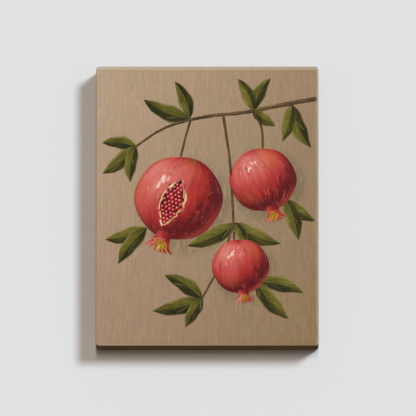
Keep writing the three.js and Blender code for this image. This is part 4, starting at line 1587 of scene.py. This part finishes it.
def paint_stamens(paint, fruit, _):
    """The yellow threads inside the crown."""
    draw = paint.draw
    root = fruit.at + 1.1 * fruit.radius * fruit.down
    count = 44
    for i in range(count):
        angle = fruit.crown + draw.uniform(-0.95, 0.95)
        start = root + fruit.radius * 0.045 * draw.standard_normal(2)
        path = line(start, start + fruit.radius * draw.uniform(0.08, 0.2) * ahead(angle))
        own = steps(draw.uniform(0, 1) ** 0.8 * rows(0.6, 1), GOLD_TONES)
        paint.mark(path, draw.uniform(0.7, 1.3) * fruit.scale, 0.7 + 0.3 * i / count, 0.25, own)


class PICTURE_OT_fruits(bpy.types.Operator):
    """Paint the three fruits"""

    bl_idname = "picture.fruits"
    bl_label = "Painted fruits"

    def execute(self, context):
        settings = context.scene.picture_paint
        layers = [
            (paint_flesh, "fruit_paint", "paint_rose", oil_paint("skin_oil", 0.05), "paint_fruit"),
            (paint_lights, "light_paint", "paint_pink", oil_paint("light_oil", 0.05), "paint_light"),
            (paint_shades, "shade_paint", "paint_crimson", oil_paint("crimson_oil", 0.05), "paint_shade"),
            (paint_stamens, "stamen_paint", "paint_gold", oil_paint("gold_oil", 0.05), "paint_stamens"),
        ]
        for place, name in enumerate(FRUITS):
            draw = np.random.default_rng(settings.seed + 100 + place)
            fruit = Fruit(name, draw)
            for lay, word, slot, finish, node in layers:
                paint = Paint(draw)
                lay(paint, fruit, settings.fruit_marks)
                paint.piece(f"{word}_{name}", slot, finish, [f"{node}_{name}"])
        return {"FINISHED"}


# ---- Camera, wall and light ----


def one_sided_paint(name, colour):
    """Matt paint, and nothing at all from behind, so that the picture can be looked at from there."""
    made = Finish(name, Roughness=0.9, Base_Color=colour)
    clear = made.node("ShaderNodeBsdfTransparent")
    behind = made.node("ShaderNodeNewGeometry", output="Backfacing")
    both = made.node("ShaderNodeMixShader", {}, {0: behind, 1: Value(made, made.shader.outputs[0]), 2: clear})
    made.put(made.tree.nodes["Material Output"].inputs["Surface"], both)
    return made.material


def stage_plane(name, place, turn, finish):
    plane = start_from("plane", size=6, location=place, rotation=turn)
    plane.name = name
    plane.data.materials.append(finish)
    plane.visible_diffuse = False
    return plane


def back_baffle():
    """A black frame round the gap behind the picture, which keeps the back light off the wall's front."""
    inset = 1 * MM
    low = (inset - HALF_W, BACK_Y, MIDDLE_Z - HALF_H + inset)
    baffle = new_box(low, (HALF_W - inset, 0, MIDDLE_Z + HALF_H - inset))
    with Editing(baffle) as work:
        work.pick("FACE", lambda f: abs(f.normal.y) > 0.9)
        bpy.ops.mesh.delete(type="FACE")
    baffle.name = "back_baffle"
    baffle.data.materials.append(Finish("baffle_black", Base_Color=(0, 0, 0)).material)
    baffle.visible_camera = False
    baffle.visible_shadow = False


def look_along(thing, direction):
    thing.rotation_euler = Vector(direction).to_track_quat("-Z", "Y").to_euler()


def add_sun(name, direction, strength, tint, degrees):
    """A far lamp that shines along a direction, and is this many degrees across."""
    deselect()
    bpy.ops.object.light_add(type="SUN", location=-2 * Vector(direction))
    lamp = bpy.context.object
    lamp.name = name
    look_along(lamp, direction)
    lamp.data.energy = strength
    lamp.data.color = tint
    lamp.data.angle = math.radians(degrees)


def room_light(strength):
    """A weak warm light from all round, and a plain pale backdrop behind the picture's back."""
    world = bpy.data.worlds.new("room")
    bpy.context.scene.world = world
    world.use_nodes = True
    room = Nodes(world.node_tree)
    warm, pale = (1.22, 0.97, 0.81), (0.74, 0.74, 0.74)
    light = room.node("ShaderNodeBackground", {}, {0: warm, 1: strength})
    backdrop = room.node("ShaderNodeBackground", {}, {0: pale})
    seen = room.node("ShaderNodeLightPath", output="Is Camera Ray")
    both = room.node("ShaderNodeMixShader", {}, {0: seen, 1: light, 2: backdrop})
    room.put(room.tree.nodes["World Output"].inputs["Surface"], both)


def add_camera(settings):
    """A far camera that looks up at the picture, as the photo does."""
    aim_right, aim_down = 1.0 * MM, 2.7 * MM
    aim = Vector((aim_right, FACE_Y, MIDDLE_Z - aim_down))
    back = Vector((0, -math.cos(settings.below), -math.sin(settings.below)))
    deselect()
    bpy.ops.object.camera_add(location=aim + back * settings.distance)
    camera = bpy.context.object
    camera.name = "picture_camera"
    look_along(camera, -back)
    camera.data.lens = camera.data.sensor_width * settings.distance / settings.frame_width
    camera.data.clip_end = 4 * settings.distance
    bpy.context.scene.camera = camera


class PICTURE_OT_stage(bpy.types.Operator):
    """Set up the camera, the wall, the floor and the light"""

    bl_idname = "picture.stage"
    bl_label = "Camera, wall and light"

    def execute(self, context):
        settings = context.scene.picture_stage
        add_camera(settings)
        wall_gap, floor_z = 0.2 * MM, -0.95
        wall_paint = one_sided_paint("wall_paint", linear(settings.wall))
        wall = stage_plane("wall", (0, wall_gap, -0.3), (math.pi / 2, 0, 0), wall_paint)
        wall.visible_shadow = False
        floor_paint = one_sided_paint("floor_paint", (0.72, 0.72, 0.71))
        stage_plane("floor", (0, 0.5, floor_z), (0, 0, 0), floor_paint)
        cool, warm, soft_white = (0.88, 1.0, 1.1), (1.0, 0.925, 0.83), (1.0, 0.97, 0.93)
        from_upper_right, from_behind = (-0.475, 0.805, -0.342), (0.42, -0.76, -0.5)
        add_sun("key_light", from_upper_right, settings.key, cool, 15)
        heights = (4, 7.2, 10.4, 13.8, 18)
        for height in heights:
            fall = math.radians(height)
            shine = (0, math.cos(fall), -math.sin(fall))
            add_sun(f"fill_light_{round(height)}", shine, settings.fill / len(heights), warm, 4.5)
        back_strength = 2.1
        add_sun("back_light", from_behind, back_strength, soft_white, 8)
        back_baffle()
        room_light(settings.room)
        context.scene.view_settings.view_transform = "Standard"
        context.scene.view_settings.look = "None"
        return {"FINISHED"}


class PICTURE_PT_panel(bpy.types.Panel):
    """The picture's settings and its pieces, in the order that they are made"""

    bl_label = "Stretched canvas picture"
    bl_idname = "PICTURE_PT_panel"
    bl_space_type = "VIEW_3D"
    bl_region_type = "UI"
    bl_category = "Picture"

    def draw(self, context):
        for operator in OPERATORS:
            self.layout.operator(operator.bl_idname)
        for name, group in SETTINGS.items():
            box = self.layout.box()
            for item in group.__annotations__:
                box.prop(getattr(context.scene, name), item)


OPERATORS = [
    PICTURE_OT_stage,
    PICTURE_OT_sheet,
    PICTURE_OT_bars,
    PICTURE_OT_keys,
    PICTURE_OT_staples,
    PICTURE_OT_hanger,
    PICTURE_OT_bumpers,
    PICTURE_OT_ground,
    PICTURE_OT_leaves,
    PICTURE_OT_branch,
    PICTURE_OT_fruits,
]
SETTINGS = {
    "picture_sheet": SheetSettings,
    "picture_paint": PaintSettings,
    "picture_wood": WoodSettings,
    "picture_stage": StageSettings,
}
CLASSES = [*SETTINGS.values(), *OPERATORS, PICTURE_PT_panel]


def register():
    for cls in CLASSES:
        bpy.utils.register_class(cls)
    for name, group in SETTINGS.items():
        setattr(bpy.types.Scene, name, PointerProperty(type=group))


def unregister():
    for name in SETTINGS:
        delattr(bpy.types.Scene, name)
    for cls in reversed(CLASSES):
        bpy.utils.unregister_class(cls)


def main():
    register()
    deselect()
    PATTERNS["mark"] = BrushMark()
    PATTERNS["dome"] = Pattern(modelled_dome())
    PATTERNS["seed"] = Pattern(modelled_seed())
    PATTERNS["thread"] = Pattern(modelled_thread())
    for operator in OPERATORS:
        family, name = operator.bl_idname.split(".")
        getattr(getattr(bpy.ops, family), name)()


if __name__ == "__main__":
    main()
